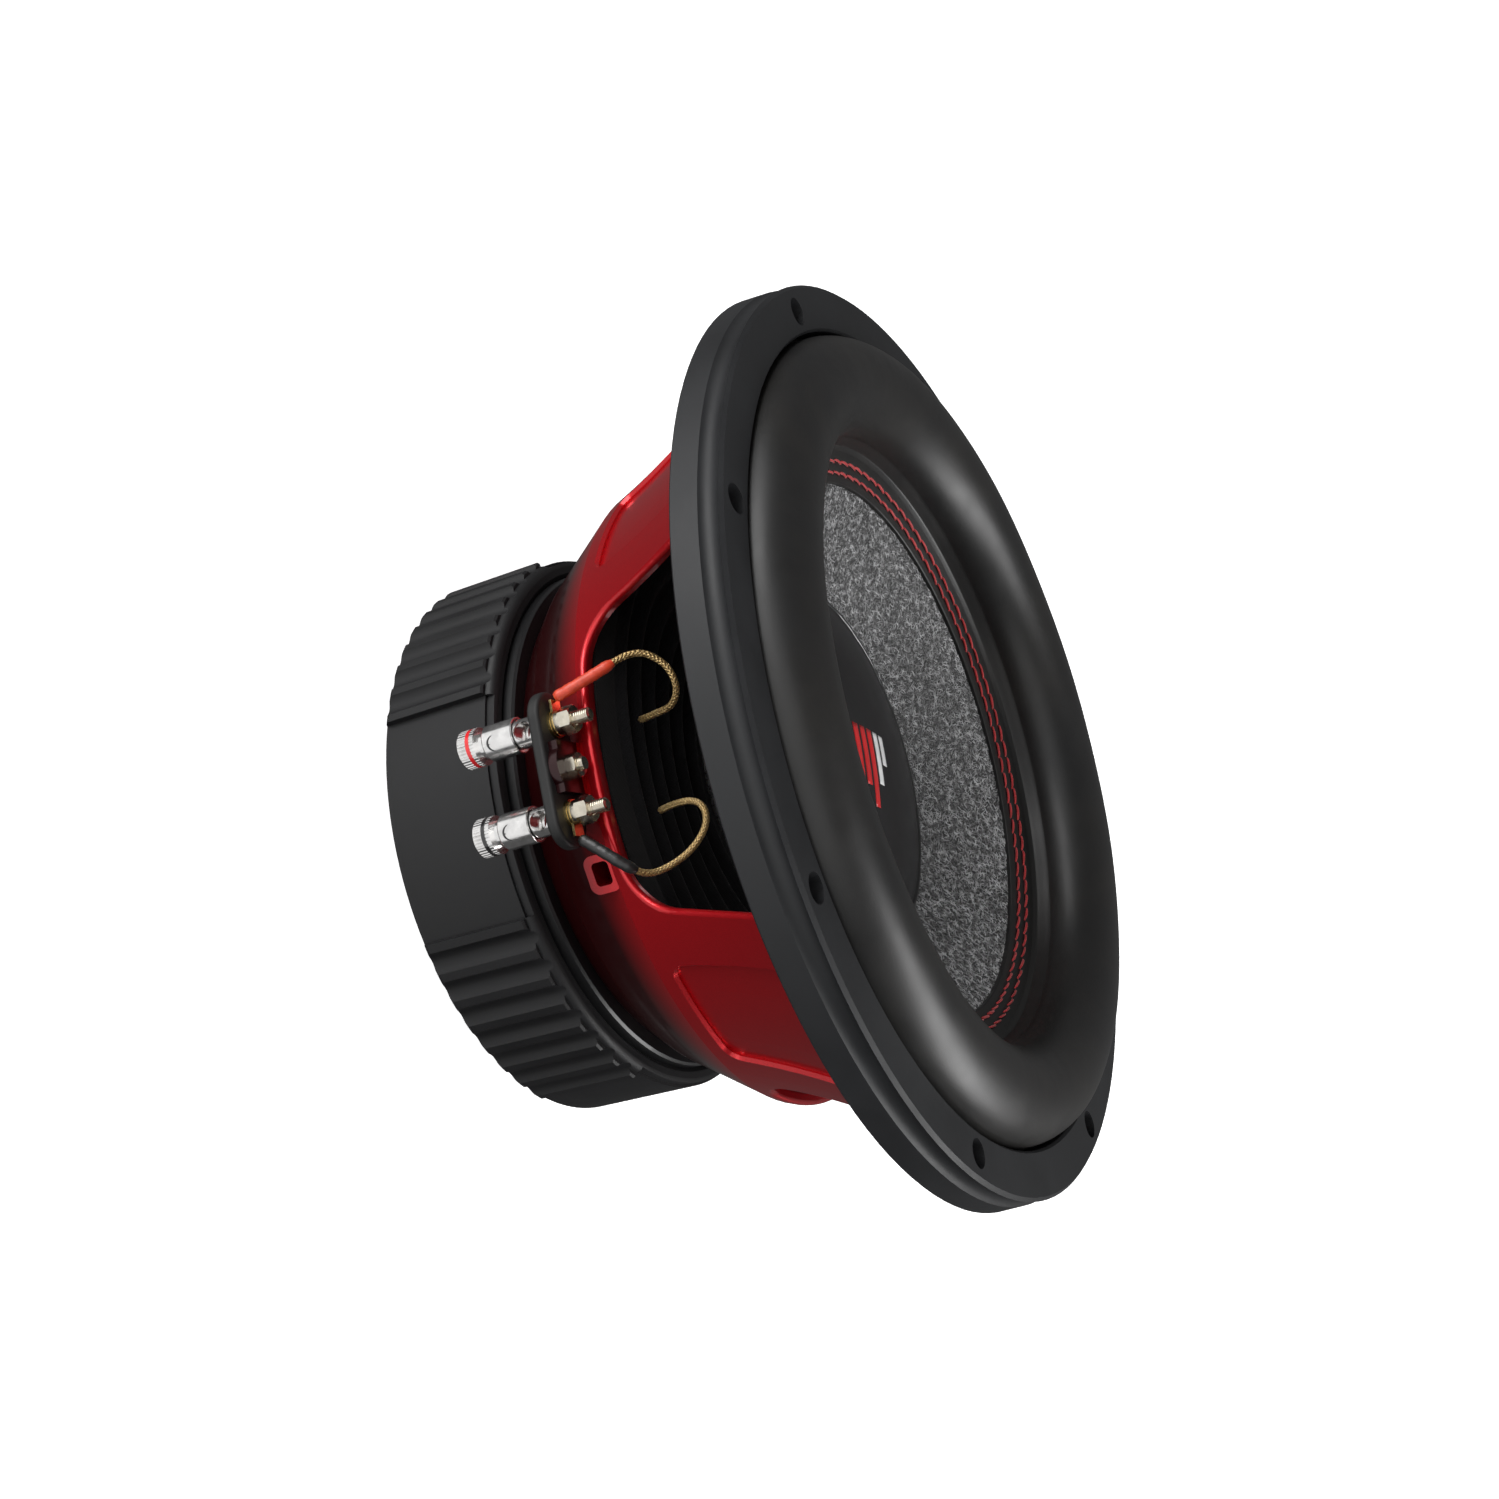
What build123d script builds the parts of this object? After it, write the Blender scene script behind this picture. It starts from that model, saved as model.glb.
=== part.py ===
from build123d import *
import os
from math import sin, cos, radians, sqrt, tan, pi

# A 12 inch car subwoofer.  Millimetres.  Z is the speaker's axis and points out of the cone.
# z = 0 is the rear face of the mounting flange, and the wire terminals are on the -Y side.

# ---------------------------------------------------------------- driving dimensions
flange_r = 153.0
flange_t = 6.0
bolt_circle_r = flange_r - 5.5
bolt_count = 8
bolt_hole_r = 3.25

gasket_front_z = 17.0
gasket_front_r = flange_r + 3.0
gasket_skirt_r = gasket_front_r + 1.0
gasket_inner_r = 140.0
gasket_hole_r = 4.7
gasket_scoop = 1.2

wall_t = 4.2                    # casting wall
wall_top_r = 139.5              # outside of the wall just behind the flange
wall_mid_r = 122.3
shoulder_r = 110.6              # sharp edge where the basket turns in to its cup
shoulder_z = -60.5
ledge_z = -57.0                 # seat of the spider
ledge_inner_r = 96.0
cup_r = 93.0
cup_z = -87.5
cup_foot_r = 84.0
base_t = 5.0
base_inner_margin = 8.7         # from the magnetic gap out to the edge of the basket's foot
spoke_count = 4
window_top_half = 59.0
window_sill_half = 44.0
window_top_z = -3.0
window_sill_z = -56.5
window_sill_corner = 19.0
window_top_corner = 3.0
panel_depth = 2.0               # sunk panel on each spoke
panel_slope = 1.2               # sloped border of the panel
panel_corner = 5.0
window_round = 1.4              # rounding of the windows' outer edges
panel_half_angle = 10.5

top_plate_r = 90.0
top_plate_t = 10.0
top_plate_z = -97.4             # front face, where the cup stands on it
magnet_r = 94.0
magnet_inner_margin = 7.4       # from the winding out to the magnet's bore
magnet_t = 21.0
back_plate_r = 93.0
back_plate_t = 12.0
pole_clearance = 0.8            # between the pole and the coil former
vent_r = 14.0
bump_depth = 6.0                # groove in the back plate under the coil
motor_screw_circle_r = 64.0
motor_screw_count = 8
motor_screw_r = 2.5
motor_screw_head_r = 4.4

boot_rear_wall = 3.0
boot_panel_r = 96.4
boot_rib_r = 98.6
boot_base_r = 95.3              # collar in front of the panels
boot_flute_base_r = 96.8        # collar in front of the ribs
boot_lip_z = -100.8
boot_lip_r = 91.6
boot_face_z = -104.0            # where the panels and ribs end at the front
boot_opening_r = 34.0
rib_groups = 4
flutes_per_group = 7
rib_group_angle = 45.0
rib_top_angle = 1.65
flute_depth = 2.3

coil_inner_r = 38.2
former_t = 0.5
winding_t = 1.9
winding_length = 30.0
former_top_z = -34.5
gap_clearance = 0.7

cone_t = 1.6
cone_neck_z = -40.4
cap_r = 62.0
cap_seat_z = -22.9
cap_height = 10.5
cap_t = 1.2
cap_lip = 3.2
cone_edge_r = 104.4
cone_shelf_r = cone_edge_r - 12.4   # the cone turns flatter here, under the surround's land
cone_shelf_z = -1.2
cone_edge_z = 3.7

surround_t = 1.5
land_inner_r = cone_shelf_r + 0.6
roll_inner_r = cone_edge_r + 0.8
roll_outer_r = 138.6
roll_foot_z = 12.8
roll_height = 17.0
surround_flange_r = roll_outer_r + 4.7
stitch_outer_r = cone_edge_r - 5.0
stitch_inner_r = cone_edge_r - 8.6
thread_r = 0.5

spider_t = 0.8
spider_waves = 6
spider_wave_height = 2.4
spider_outer_r = 106.0

post_spacing = 28.0
post_circle_r = 117.5
board_rear_z = -69.4
board_t = 4.1
board_length = 49.0
board_width = 18.0
board_edge = 1.2
tab_width = 16.0
tab_t = 3.0
stud_r = 2.0
stud_end_z = -52.2
barrel_bore_r = 4.0
barrel_r = barrel_bore_r + 0.7  # thin barrel with the wire hole
groove_outer_r = barrel_r + 0.55
sleeve_r = groove_outer_r + 0.5     # thicker sleeve behind it
sleeve_bore_r = sleeve_r - 1.05     # spring chamber
groove_depth = 1.5              # ring groove where the barrel enters the sleeve
barrel_step_z = -77.6
sleeve_end_z = -88.6
wire_hole_r = 3.0
wire_hole_z = -74.2
seam_angle = 14.0
push_travel = 2.5
cap_collar_z = -91.2
cap_ring_z = -92.7
cap_head_z = -94.0
cap_end_z = -97.4
screw_r = 2.0                   # board screw
slot_angle = 17.0
slot_z = -64.8
slot_width = 7.5
slot_height = 5.7
slot_lip_t = 2.4                # width of the raised rim around the slot
slot_lip_depth = 8.0
slot_lip_set = 0.3              # how far the rim's face lies inside the basket's largest radius there
push_cap_r = sleeve_r + 0.45
knurl_count = 36
lead_r = 1.1
shrink_r = lead_r + 0.8
shrink_bore_r = lead_r + 0.05

touch = 0.05                    # clearance between pieces of different bodies that lie on each other
fit = 0.1                       # clearance between a screw and its hole

# ---------------------------------------------------------------- derived places
magnet_z = top_plate_z - top_plate_t
back_plate_z = magnet_z - magnet_t
yoke_rear_z = back_plate_z - back_plate_t
boot_rear_z = yoke_rear_z - boot_rear_wall
former_r = coil_inner_r + former_t
coil_r = former_r + winding_t
gap_outer_r = coil_r + gap_clearance
pole_r = coil_inner_r - pole_clearance
magnet_inner_r = coil_r + magnet_inner_margin
base_inner_r = gap_outer_r + base_inner_margin
coil_mid_z = top_plate_z - top_plate_t / 2
winding_top_z = coil_mid_z + winding_length / 2
winding_end_z = coil_mid_z - winding_length / 2
former_end_z = winding_end_z - 1.0
post_y = -sqrt(post_circle_r**2 - (post_spacing / 2) ** 2)
board_front_z = board_rear_z + board_t
tab_front_z = board_front_z + tab_t
base_z = top_plate_z + base_t
panel_end_z = window_top_z - 6.0

os.makedirs("parts", exist_ok=True)


def save(part, name):
    """Label a finished piece and write it as parts/NAME.step."""
    part.label = name
    export_step(part, f"parts/{name}.step")


def wall_curve_mid():
    """Middle point of the basket wall's slightly hollow outline."""
    return (wall_mid_r, (shoulder_z + window_top_z) / 2)


def wall_r(z):
    """Outside radius of the basket wall at height z, on the arc through its three given points."""
    top_z = window_top_z + 2.5
    mid_z = wall_curve_mid()[1]
    ends = ((wall_top_r, top_z), (wall_mid_r, mid_z), (shoulder_r, shoulder_z))
    (ax, ay), (bx, by), (cx, cy) = ends
    d = 2 * (ax * (by - cy) + bx * (cy - ay) + cx * (ay - by))
    a2, b2, c2 = ax**2 + ay**2, bx**2 + by**2, cx**2 + cy**2
    ux = (a2 * (by - cy) + b2 * (cy - ay) + c2 * (ay - by)) / d
    uy = (a2 * (cx - bx) + b2 * (ax - cx) + c2 * (bx - ax)) / d
    arc_r = sqrt((ax - ux) ** 2 + (ay - uy) ** 2)
    return ux - sqrt(arc_r**2 - (z - uy) ** 2)


def on_wall(edge):
    """True for an edge that lies on the outside of the basket wall."""
    spots = [edge.position_at(share) for share in (0.2, 0.5, 0.8)]
    return all(
        shoulder_z < spot.Z < window_top_z + 2.5
        and abs(sqrt(spot.X**2 + spot.Y**2) - wall_r(spot.Z)) < 0.05
        for spot in spots
    )


# ---------------------------------------------------------------- basket
with BuildPart() as basket:
    with BuildSketch(Plane.XZ):
        with BuildLine():
            Polyline(
                (wall_top_r - wall_t, flange_t),
                (flange_r, flange_t),
                (flange_r, 0),
                (wall_top_r + 1.5, 0),
                (wall_top_r, window_top_z + 2.5),
            )
            ThreePointArc(
                (wall_top_r, window_top_z + 2.5), wall_curve_mid(), (shoulder_r, shoulder_z)
            )
            Polyline(
                (shoulder_r, shoulder_z),
                (cup_r, cup_z),
                (cup_foot_r, top_plate_z),
                (base_inner_r, top_plate_z),
                (base_inner_r, base_z),
                (cup_foot_r - wall_t, base_z),
                (cup_r - wall_t - 1.0, cup_z + 2.0),
                (ledge_inner_r, ledge_z - 10.0),
                (ledge_inner_r, ledge_z),
                (shoulder_r - wall_t + 1.2, ledge_z),
            )
            ThreePointArc(
                (shoulder_r - wall_t + 1.2, ledge_z),
                (wall_mid_r - wall_t, (shoulder_z + window_top_z) / 2 + 1.0),
                (wall_top_r - wall_t, window_top_z + 2.5),
            )
            Line((wall_top_r - wall_t, window_top_z + 2.5), (wall_top_r - wall_t, flange_t))
        make_face()
    revolve(axis=Axis.Z)

    # shell just outside the sunk panels, cut away on each spoke
    with BuildPart(mode=Mode.PRIVATE) as panel_shell:
        with BuildSketch(Plane.XZ):
            with BuildLine():
                panel_start_z = window_sill_z + 2.5
                ThreePointArc(
                    (wall_top_r - panel_depth, window_top_z + 2.5),
                    (wall_mid_r - panel_depth, (shoulder_z + window_top_z) / 2),
                    (shoulder_r - panel_depth, shoulder_z),
                )
                Polyline(
                    (shoulder_r - panel_depth, shoulder_z),
                    (shoulder_r + 30, shoulder_z),
                    (wall_top_r + 30, window_top_z + 2.5),
                    (wall_top_r - panel_depth, window_top_z + 2.5),
                )
            make_face()
        revolve(axis=Axis.Z)
        with BuildSketch(Plane.XZ.rotated((0, 0, 45))):
            with BuildLine():
                Polyline(
                    (-shoulder_r * sin(radians(panel_half_angle)), panel_start_z),
                    (shoulder_r * sin(radians(panel_half_angle)), panel_start_z),
                    (wall_top_r * sin(radians(panel_half_angle)), panel_end_z),
                    (-wall_top_r * sin(radians(panel_half_angle)), panel_end_z),
                    close=True,
                )
            make_face()
            fillet(vertices(), panel_corner)
        extrude(amount=flange_r, mode=Mode.INTERSECT)

    for spoke in range(spoke_count):
        add(panel_shell.part.rotate(Axis.Z, spoke * 360 / spoke_count), mode=Mode.SUBTRACT)
        chamfer([edge for edge in basket.edges(Select.LAST) if on_wall(edge)], panel_slope)

    # windows between the spokes
    for window in range(spoke_count):
        with BuildSketch(Plane.XZ.rotated((0, 0, window * 360 / spoke_count))):
            with BuildLine():
                Polyline(
                    (-window_sill_half, window_sill_z),
                    (window_sill_half, window_sill_z),
                    (window_top_half, window_top_z),
                    (-window_top_half, window_top_z),
                    close=True,
                )
            make_face()
            fillet(vertices().group_by(Axis.Y)[0], window_sill_corner)
            fillet(vertices().group_by(Axis.Y)[-1], window_top_corner)
        extrude(amount=flange_r, mode=Mode.SUBTRACT)
        fillet([edge for edge in basket.edges(Select.LAST) if on_wall(edge)], window_round)

    # tab that carries the terminal board, and its screw hole
    with BuildSketch(Plane.XY.offset(board_front_z)):
        with Locations((0, (post_y - ledge_inner_r - 4) / 2 - 3)):
            Rectangle(tab_width, -post_y - ledge_inner_r - 4 + 6)
        with Locations((0, post_y)):
            Circle(tab_width / 2)
            Circle(screw_r + fit, mode=Mode.SUBTRACT)
    extrude(amount=tab_t)

    # small punched slot with a folded lip, beside the terminals
    slot_plane = Plane(
        origin=(shoulder_r * sin(radians(slot_angle)), -shoulder_r * cos(radians(slot_angle)), slot_z),
        x_dir=(cos(radians(slot_angle)), sin(radians(slot_angle)), 0),
        z_dir=(sin(radians(slot_angle)), -cos(radians(slot_angle)), 0),
    )
    with BuildSketch(slot_plane.offset(-slot_lip_set)):
        RectangleRounded(slot_width + 2 * slot_lip_t, slot_height + 2 * slot_lip_t, 3.0)
    extrude(amount=-slot_lip_depth)
    with BuildSketch(slot_plane.offset(3)):
        RectangleRounded(slot_width, slot_height, 1.4)
    extrude(amount=-20, mode=Mode.SUBTRACT)

    # screw holes in the foot
    with BuildSketch(Plane.XY.offset(base_z)):
        with PolarLocations(motor_screw_circle_r, motor_screw_count):
            Circle(motor_screw_r)
    extrude(amount=-base_t, mode=Mode.SUBTRACT)

    # mounting holes
    with BuildSketch(Plane.XY.offset(flange_t)):
        with PolarLocations(bolt_circle_r, bolt_count, start_angle=180 / bolt_count):
            Circle(bolt_hole_r)
    extrude(amount=-flange_t - 1, mode=Mode.SUBTRACT)

save(basket.part, "basket")

# ---------------------------------------------------------------- gasket
with BuildPart() as gasket:
    with BuildSketch(Plane.XZ):
        with BuildLine():
            Polyline(
                (gasket_front_r, gasket_front_z - 1.2),
                (gasket_front_r - 1.2, gasket_front_z),
                (gasket_inner_r + 0.8, gasket_front_z),
                (gasket_inner_r, gasket_front_z - 0.8),
                (gasket_inner_r, flange_t + surround_t + touch),
                (surround_flange_r + 0.3, flange_t + surround_t + touch),
                (surround_flange_r + 0.3, flange_t),
                (flange_r, flange_t),
                (flange_r, 0.2),
                (gasket_skirt_r - 0.6, 0.2),
                (gasket_skirt_r, 0.8),
                (gasket_skirt_r - 0.5, gasket_front_z - 7.6),
            )
            ThreePointArc(
                (gasket_skirt_r - 0.5, gasket_front_z - 7.6),
                (gasket_front_r - gasket_scoop, gasket_front_z - 4.4),
                (gasket_front_r, gasket_front_z - 1.2),
            )
        make_face()
    revolve(axis=Axis.Z)
    with BuildSketch(Plane.XY.offset(gasket_front_z)):
        with PolarLocations(bolt_circle_r, bolt_count, start_angle=180 / bolt_count):
            Circle(gasket_hole_r)
    extrude(amount=-gasket_front_z, mode=Mode.SUBTRACT)
save(gasket.part, "gasket")

# ---------------------------------------------------------------- motor
with BuildPart() as top_plate:
    with BuildSketch(Plane.XY.offset(magnet_z)):
        Circle(top_plate_r)
        Circle(gap_outer_r, mode=Mode.SUBTRACT)
    extrude(amount=top_plate_t)
    chamfer(top_plate.edges().filter_by(GeomType.CIRCLE).sort_by(SortBy.RADIUS)[-2:], 0.8)
    with BuildSketch(Plane.XY.offset(top_plate_z)):
        with PolarLocations(motor_screw_circle_r, motor_screw_count):
            Circle(motor_screw_r)
    extrude(amount=-top_plate_t + 1.5, mode=Mode.SUBTRACT)
save(top_plate.part, "top_plate")

with BuildPart() as magnet:
    with BuildSketch(Plane.XY.offset(back_plate_z)):
        Circle(magnet_r)
        Circle(magnet_inner_r, mode=Mode.SUBTRACT)
    extrude(amount=magnet_t)
    chamfer(magnet.edges().filter_by(GeomType.CIRCLE).sort_by(SortBy.RADIUS)[-2:], 1.0)
save(magnet.part, "magnet")

with BuildPart() as yoke:
    with BuildSketch(Plane.XZ):
        with BuildLine():
            Polyline(
                (vent_r, top_plate_z + 1.5),
                (pole_r - 1.0, top_plate_z + 1.5),
                (pole_r, top_plate_z + 0.5),
                (pole_r, back_plate_z - bump_depth),
                (coil_r + 3.0, back_plate_z - bump_depth),
                (coil_r + 3.0 + bump_depth / 2, back_plate_z),
                (back_plate_r, back_plate_z),
                (back_plate_r, yoke_rear_z + 1.0),
                (back_plate_r - 1.0, yoke_rear_z),
                (vent_r + 4.0, yoke_rear_z),
                (vent_r, yoke_rear_z + 8.0),
                close=True,
            )
        make_face()
    revolve(axis=Axis.Z)
save(yoke.part, "yoke")


def polar_point(radius, angle):
    return (radius * cos(radians(angle)), radius * sin(radians(angle)))


with BuildPart() as magnet_boot:
    # collar, then the four smooth panels standing a little proud of it
    with BuildSketch(Plane.XY.offset(boot_rear_z)):
        Circle(boot_base_r)
    extrude(amount=boot_lip_z - boot_rear_z)
    with BuildSketch(Plane.XY.offset(boot_rear_z)):
        Circle(boot_panel_r)
    extrude(amount=boot_face_z - boot_rear_z)
    # four ribbed sectors between the panels
    for sector_r, sector_end_z in ((boot_flute_base_r, boot_lip_z), (boot_rib_r, boot_face_z)):
        with BuildSketch(Plane.XY.offset(boot_rear_z)):
            for group in range(rib_groups):
                middle = 45 + group * 360 / rib_groups
                with BuildLine():
                    Polyline(
                        (0, 0),
                        polar_point(2 * boot_rib_r, middle - rib_group_angle / 2),
                        polar_point(2 * boot_rib_r, middle + rib_group_angle / 2),
                        close=True,
                    )
                make_face()
            Circle(sector_r, mode=Mode.INTERSECT)
        extrude(amount=sector_end_z - boot_rear_z)
    # hollow flutes between the ribs, running out at the collar
    flute_pitch = (rib_group_angle - rib_top_angle) / flutes_per_group
    flute_half = boot_rib_r * sin(radians((flute_pitch - rib_top_angle) / 2))
    flute_r = (flute_half**2 + flute_depth**2) / (2 * flute_depth)
    with BuildSketch(Plane.XY.offset(boot_rear_z)):
        for group in range(rib_groups):
            first = 45 + group * 360 / rib_groups - (flutes_per_group - 1) / 2 * flute_pitch
            for flute in range(flutes_per_group):
                with Locations(polar_point(boot_rib_r - flute_depth + flute_r, first + flute * flute_pitch)):
                    Circle(flute_r)
    extrude(amount=boot_lip_z - boot_rear_z, mode=Mode.SUBTRACT)
    # rounded envelope: rear edge, rib ends and the lip folded over the magnet
    with BuildSketch(Plane.XZ):
        with BuildLine():
            Polyline(
                (boot_opening_r, boot_rear_z),
                (boot_rib_r - 3.0, boot_rear_z),
            )
            ThreePointArc(
                (boot_rib_r - 3.0, boot_rear_z),
                (boot_rib_r - 0.75, boot_rear_z + 0.9),
                (boot_rib_r + 0.2, boot_rear_z + 3.2),
            )
            Polyline(
                (boot_rib_r + 0.2, boot_rear_z + 3.2),
                (boot_rib_r + 0.2, boot_face_z - 0.9),
                (boot_rib_r - 0.7, boot_face_z),
                (boot_flute_base_r, boot_face_z),
            )
            ThreePointArc(
                (boot_flute_base_r, boot_face_z),
                (boot_flute_base_r - 1.0, boot_lip_z - 0.8),
                (boot_flute_base_r - 3.3, boot_lip_z),
            )
            Polyline(
                (boot_flute_base_r - 3.3, boot_lip_z),
                (boot_lip_r, boot_lip_z),
                (top_plate_r, boot_lip_z - 1.2),
                (top_plate_r, magnet_z),
                (magnet_r, magnet_z),
                (magnet_r, yoke_rear_z),
                (boot_opening_r, yoke_rear_z),
                (boot_opening_r, boot_rear_z),
            )
        make_face()
    revolve(axis=Axis.Z, mode=Mode.INTERSECT)
save(magnet_boot.part, "magnet_boot")

with BuildPart() as motor_screws:
    with PolarLocations(motor_screw_circle_r, motor_screw_count):
        with Locations((0, 0, base_z)):
            Cylinder(motor_screw_head_r, 3.2, align=(Align.CENTER, Align.CENTER, Align.MIN))
            Cylinder(motor_screw_r, base_t + 8, align=(Align.CENTER, Align.CENTER, Align.MAX))
    with BuildSketch(Plane.XY.offset(base_z + 3.2)):
        with PolarLocations(motor_screw_circle_r, motor_screw_count):
            RegularPolygon(2.2, 6)
    extrude(amount=-2.0, mode=Mode.SUBTRACT)
save(motor_screws.part, "motor_screws")

# ---------------------------------------------------------------- voice coil and cone
with BuildPart() as coil_former:
    with BuildSketch(Plane.XY.offset(former_end_z)):
        Circle(former_r)
        Circle(coil_inner_r, mode=Mode.SUBTRACT)
    extrude(amount=former_top_z - former_end_z)
save(coil_former.part, "coil_former")

with BuildPart() as voice_coil:
    with BuildSketch(Plane.XY.offset(winding_end_z)):
        Circle(coil_r)
        Circle(former_r, mode=Mode.SUBTRACT)
    extrude(amount=winding_length)
save(voice_coil.part, "voice_coil")

with BuildPart() as cone:
    with BuildSketch(Plane.XZ):
        with BuildLine():
            Polyline(
                (former_r, cone_neck_z),
                (cap_r, cap_seat_z),
                (cone_shelf_r, cone_shelf_z),
                (cone_edge_r, cone_edge_z),
                (cone_edge_r, cone_edge_z - cone_t),
                (cone_shelf_r + 0.6, cone_shelf_z - cone_t - 0.3),
                (cap_r + 0.4, cap_seat_z - cone_t - 0.4),
                (former_r, cone_neck_z - cone_t - 0.5),
                close=True,
            )
        make_face()
    revolve(axis=Axis.Z)
save(cone.part, "cone")

neck_rise = (cap_seat_z - cone_neck_z) / (cap_r - former_r)
cap_lip_r = cap_r - cap_lip
cap_top_z = cap_seat_z + cap_height
cap_lip_z = cap_seat_z + 1.3
dome_drop = cap_top_z - cap_lip_z
dome_r = (cap_lip_r**2 + dome_drop**2) / (2 * dome_drop)


def dome_z(radius, depth=0.0):
    """Front of the dust cap's shallow dome, or a surface that far behind it."""
    return cap_top_z - dome_r + sqrt((dome_r - depth) ** 2 - radius**2)


with BuildPart() as dust_cap:
    with BuildSketch(Plane.XZ):
        with BuildLine():
            ThreePointArc(
                (0, cap_top_z), (cap_lip_r / 2, dome_z(cap_lip_r / 2)), (cap_lip_r, cap_lip_z)
            )
            Polyline(
                (cap_lip_r, cap_lip_z),
                (cap_r - 0.5, cap_seat_z + 1.0),
                (cap_r, cap_seat_z + 0.5),
                (cap_r, cap_seat_z),
                (cap_lip_r, cap_seat_z - cap_lip * neck_rise),
                (cap_lip_r - cap_t, dome_z(cap_lip_r - cap_t, cap_t)),
            )
            ThreePointArc(
                (cap_lip_r - cap_t, dome_z(cap_lip_r - cap_t, cap_t)),
                (cap_lip_r / 2, dome_z(cap_lip_r / 2, cap_t)),
                (0, cap_top_z - cap_t),
            )
            Line((0, cap_top_z - cap_t), (0, cap_top_z))
        make_face()
    revolve(axis=Axis.Z)
save(dust_cap.part, "dust_cap")

# ---------------------------------------------------------------- suspension
land_rise = (cone_edge_z - cone_shelf_z) / (cone_edge_r - cone_shelf_r)


def shelf_z(radius):
    """Front of the cone's flat outer shelf."""
    return cone_shelf_z + (radius - cone_shelf_r) * land_rise


def land_z(radius):
    """Front of the surround's land, which is glued on that shelf."""
    return shelf_z(radius) + surround_t


roll_mid_r = (roll_inner_r + roll_outer_r) / 2
roll_half = (roll_outer_r - roll_inner_r) / 2
with BuildPart() as surround:
    with BuildSketch(Plane.XZ):
        with BuildLine():
            Polyline(
                (roll_inner_r, roll_foot_z),
                (cone_edge_r, land_z(cone_edge_r)),
                (land_inner_r, land_z(land_inner_r)),
                (land_inner_r, shelf_z(land_inner_r)),
                (cone_edge_r, shelf_z(cone_edge_r)),
                (cone_edge_r + surround_t, shelf_z(cone_edge_r)),
                (roll_inner_r + surround_t, roll_foot_z),
            )
            ThreePointArc(
                (roll_inner_r + surround_t, roll_foot_z),
                (roll_mid_r, roll_foot_z + roll_height - surround_t),
                (roll_outer_r - surround_t, roll_foot_z),
            )
            Polyline(
                (roll_outer_r - surround_t, roll_foot_z),
                (roll_outer_r - surround_t, flange_t + touch),
                (surround_flange_r, flange_t + touch),
                (surround_flange_r, flange_t + surround_t),
                (roll_outer_r, flange_t + surround_t),
                (roll_outer_r, roll_foot_z),
            )
            ThreePointArc(
                (roll_outer_r, roll_foot_z),
                (roll_mid_r, roll_foot_z + roll_height),
                (roll_inner_r, roll_foot_z),
            )
        make_face()
    revolve(axis=Axis.Z)
save(surround.part, "surround")

land_length = sqrt((cone_edge_r - cone_shelf_r) ** 2 + (cone_edge_z - cone_shelf_z) ** 2)
along = ((cone_edge_r - cone_shelf_r) / land_length, (cone_edge_z - cone_shelf_z) / land_length)
for row, row_r in (("outer", stitch_outer_r), ("inner", stitch_inner_r)):
    with BuildPart() as stitch_row:
        with BuildSketch(Plane.XZ):
            with BuildLine():
                Polyline(
                    *[
                        (
                            row_r + u * along[0] - v * along[1],
                            land_z(row_r) + u * along[1] + v * along[0],
                        )
                        for u, v in (
                            (-thread_r, 0),
                            (thread_r, 0),
                            (thread_r / 2, thread_r),
                            (-thread_r / 2, thread_r),
                        )
                    ],
                    close=True,
                )
            make_face()
        revolve(axis=Axis.Z)
    save(stitch_row.part, f"stitching_{row}")

spider_seat_z = ledge_z + touch
spider_land_r = ledge_inner_r - 0.5
spider_collar_r = former_r + 4.0
with BuildPart() as spider:
    wave_length = (spider_land_r - spider_collar_r) / (2 * spider_waves)
    crests = [
        (
            spider_land_r - (i + 0.5) * wave_length,
            spider_seat_z + (spider_wave_height if i % 2 else -spider_wave_height * 0.4),
        )
        for i in range(2 * spider_waves)
    ]
    under = [(spider_outer_r, spider_seat_z), (spider_land_r, spider_seat_z)]
    under += crests
    under += [(spider_collar_r, spider_seat_z), (former_r, spider_seat_z)]
    over = [(r, z + spider_t) for r, z in reversed(under)]
    with BuildSketch(Plane.XZ):
        with BuildLine():
            Polyline(*(under + over), close=True)
        make_face()
    revolve(axis=Axis.Z)
save(spider.part, "spider")

# ---------------------------------------------------------------- terminals
with BuildPart() as terminal_board:
    with BuildSketch(Plane.XY.offset(board_rear_z)):
        with Locations((0, post_y)):
            SlotOverall(board_length, board_width)
            with Locations((-post_spacing / 2, 0), (post_spacing / 2, 0)):
                Circle(stud_r, mode=Mode.SUBTRACT)
            Circle(screw_r + fit, mode=Mode.SUBTRACT)
    extrude(amount=board_t)
    fillet(terminal_board.faces().sort_by(Axis.Z)[0].outer_wire().edges(), board_edge)
    fillet(terminal_board.faces().sort_by(Axis.Z)[-1].outer_wire().edges(), board_edge)
save(terminal_board.part, "terminal_board")

screw_head_t = 2.4
nut_t = 3.3
lock_washer_t = 1.6
stud_nut_t = 4.2
stud_nut_flats = 7.8
with BuildPart() as board_screw:
    with Locations((0, post_y, board_rear_z)):
        Cylinder(3.9, screw_head_t, align=(Align.CENTER, Align.CENTER, Align.MAX))
        Cylinder(screw_r, tab_front_z - board_rear_z + 5, align=(Align.CENTER, Align.CENTER, Align.MIN))
    fillet(board_screw.faces().sort_by(Axis.Z)[0].edges(), 1.4)
    with Locations((0, post_y, board_rear_z - screw_head_t)):
        Box(5.0, 0.9, 2.4, mode=Mode.SUBTRACT)
        Box(0.9, 5.0, 2.4, mode=Mode.SUBTRACT)
save(board_screw.part, "board_screw")


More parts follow.
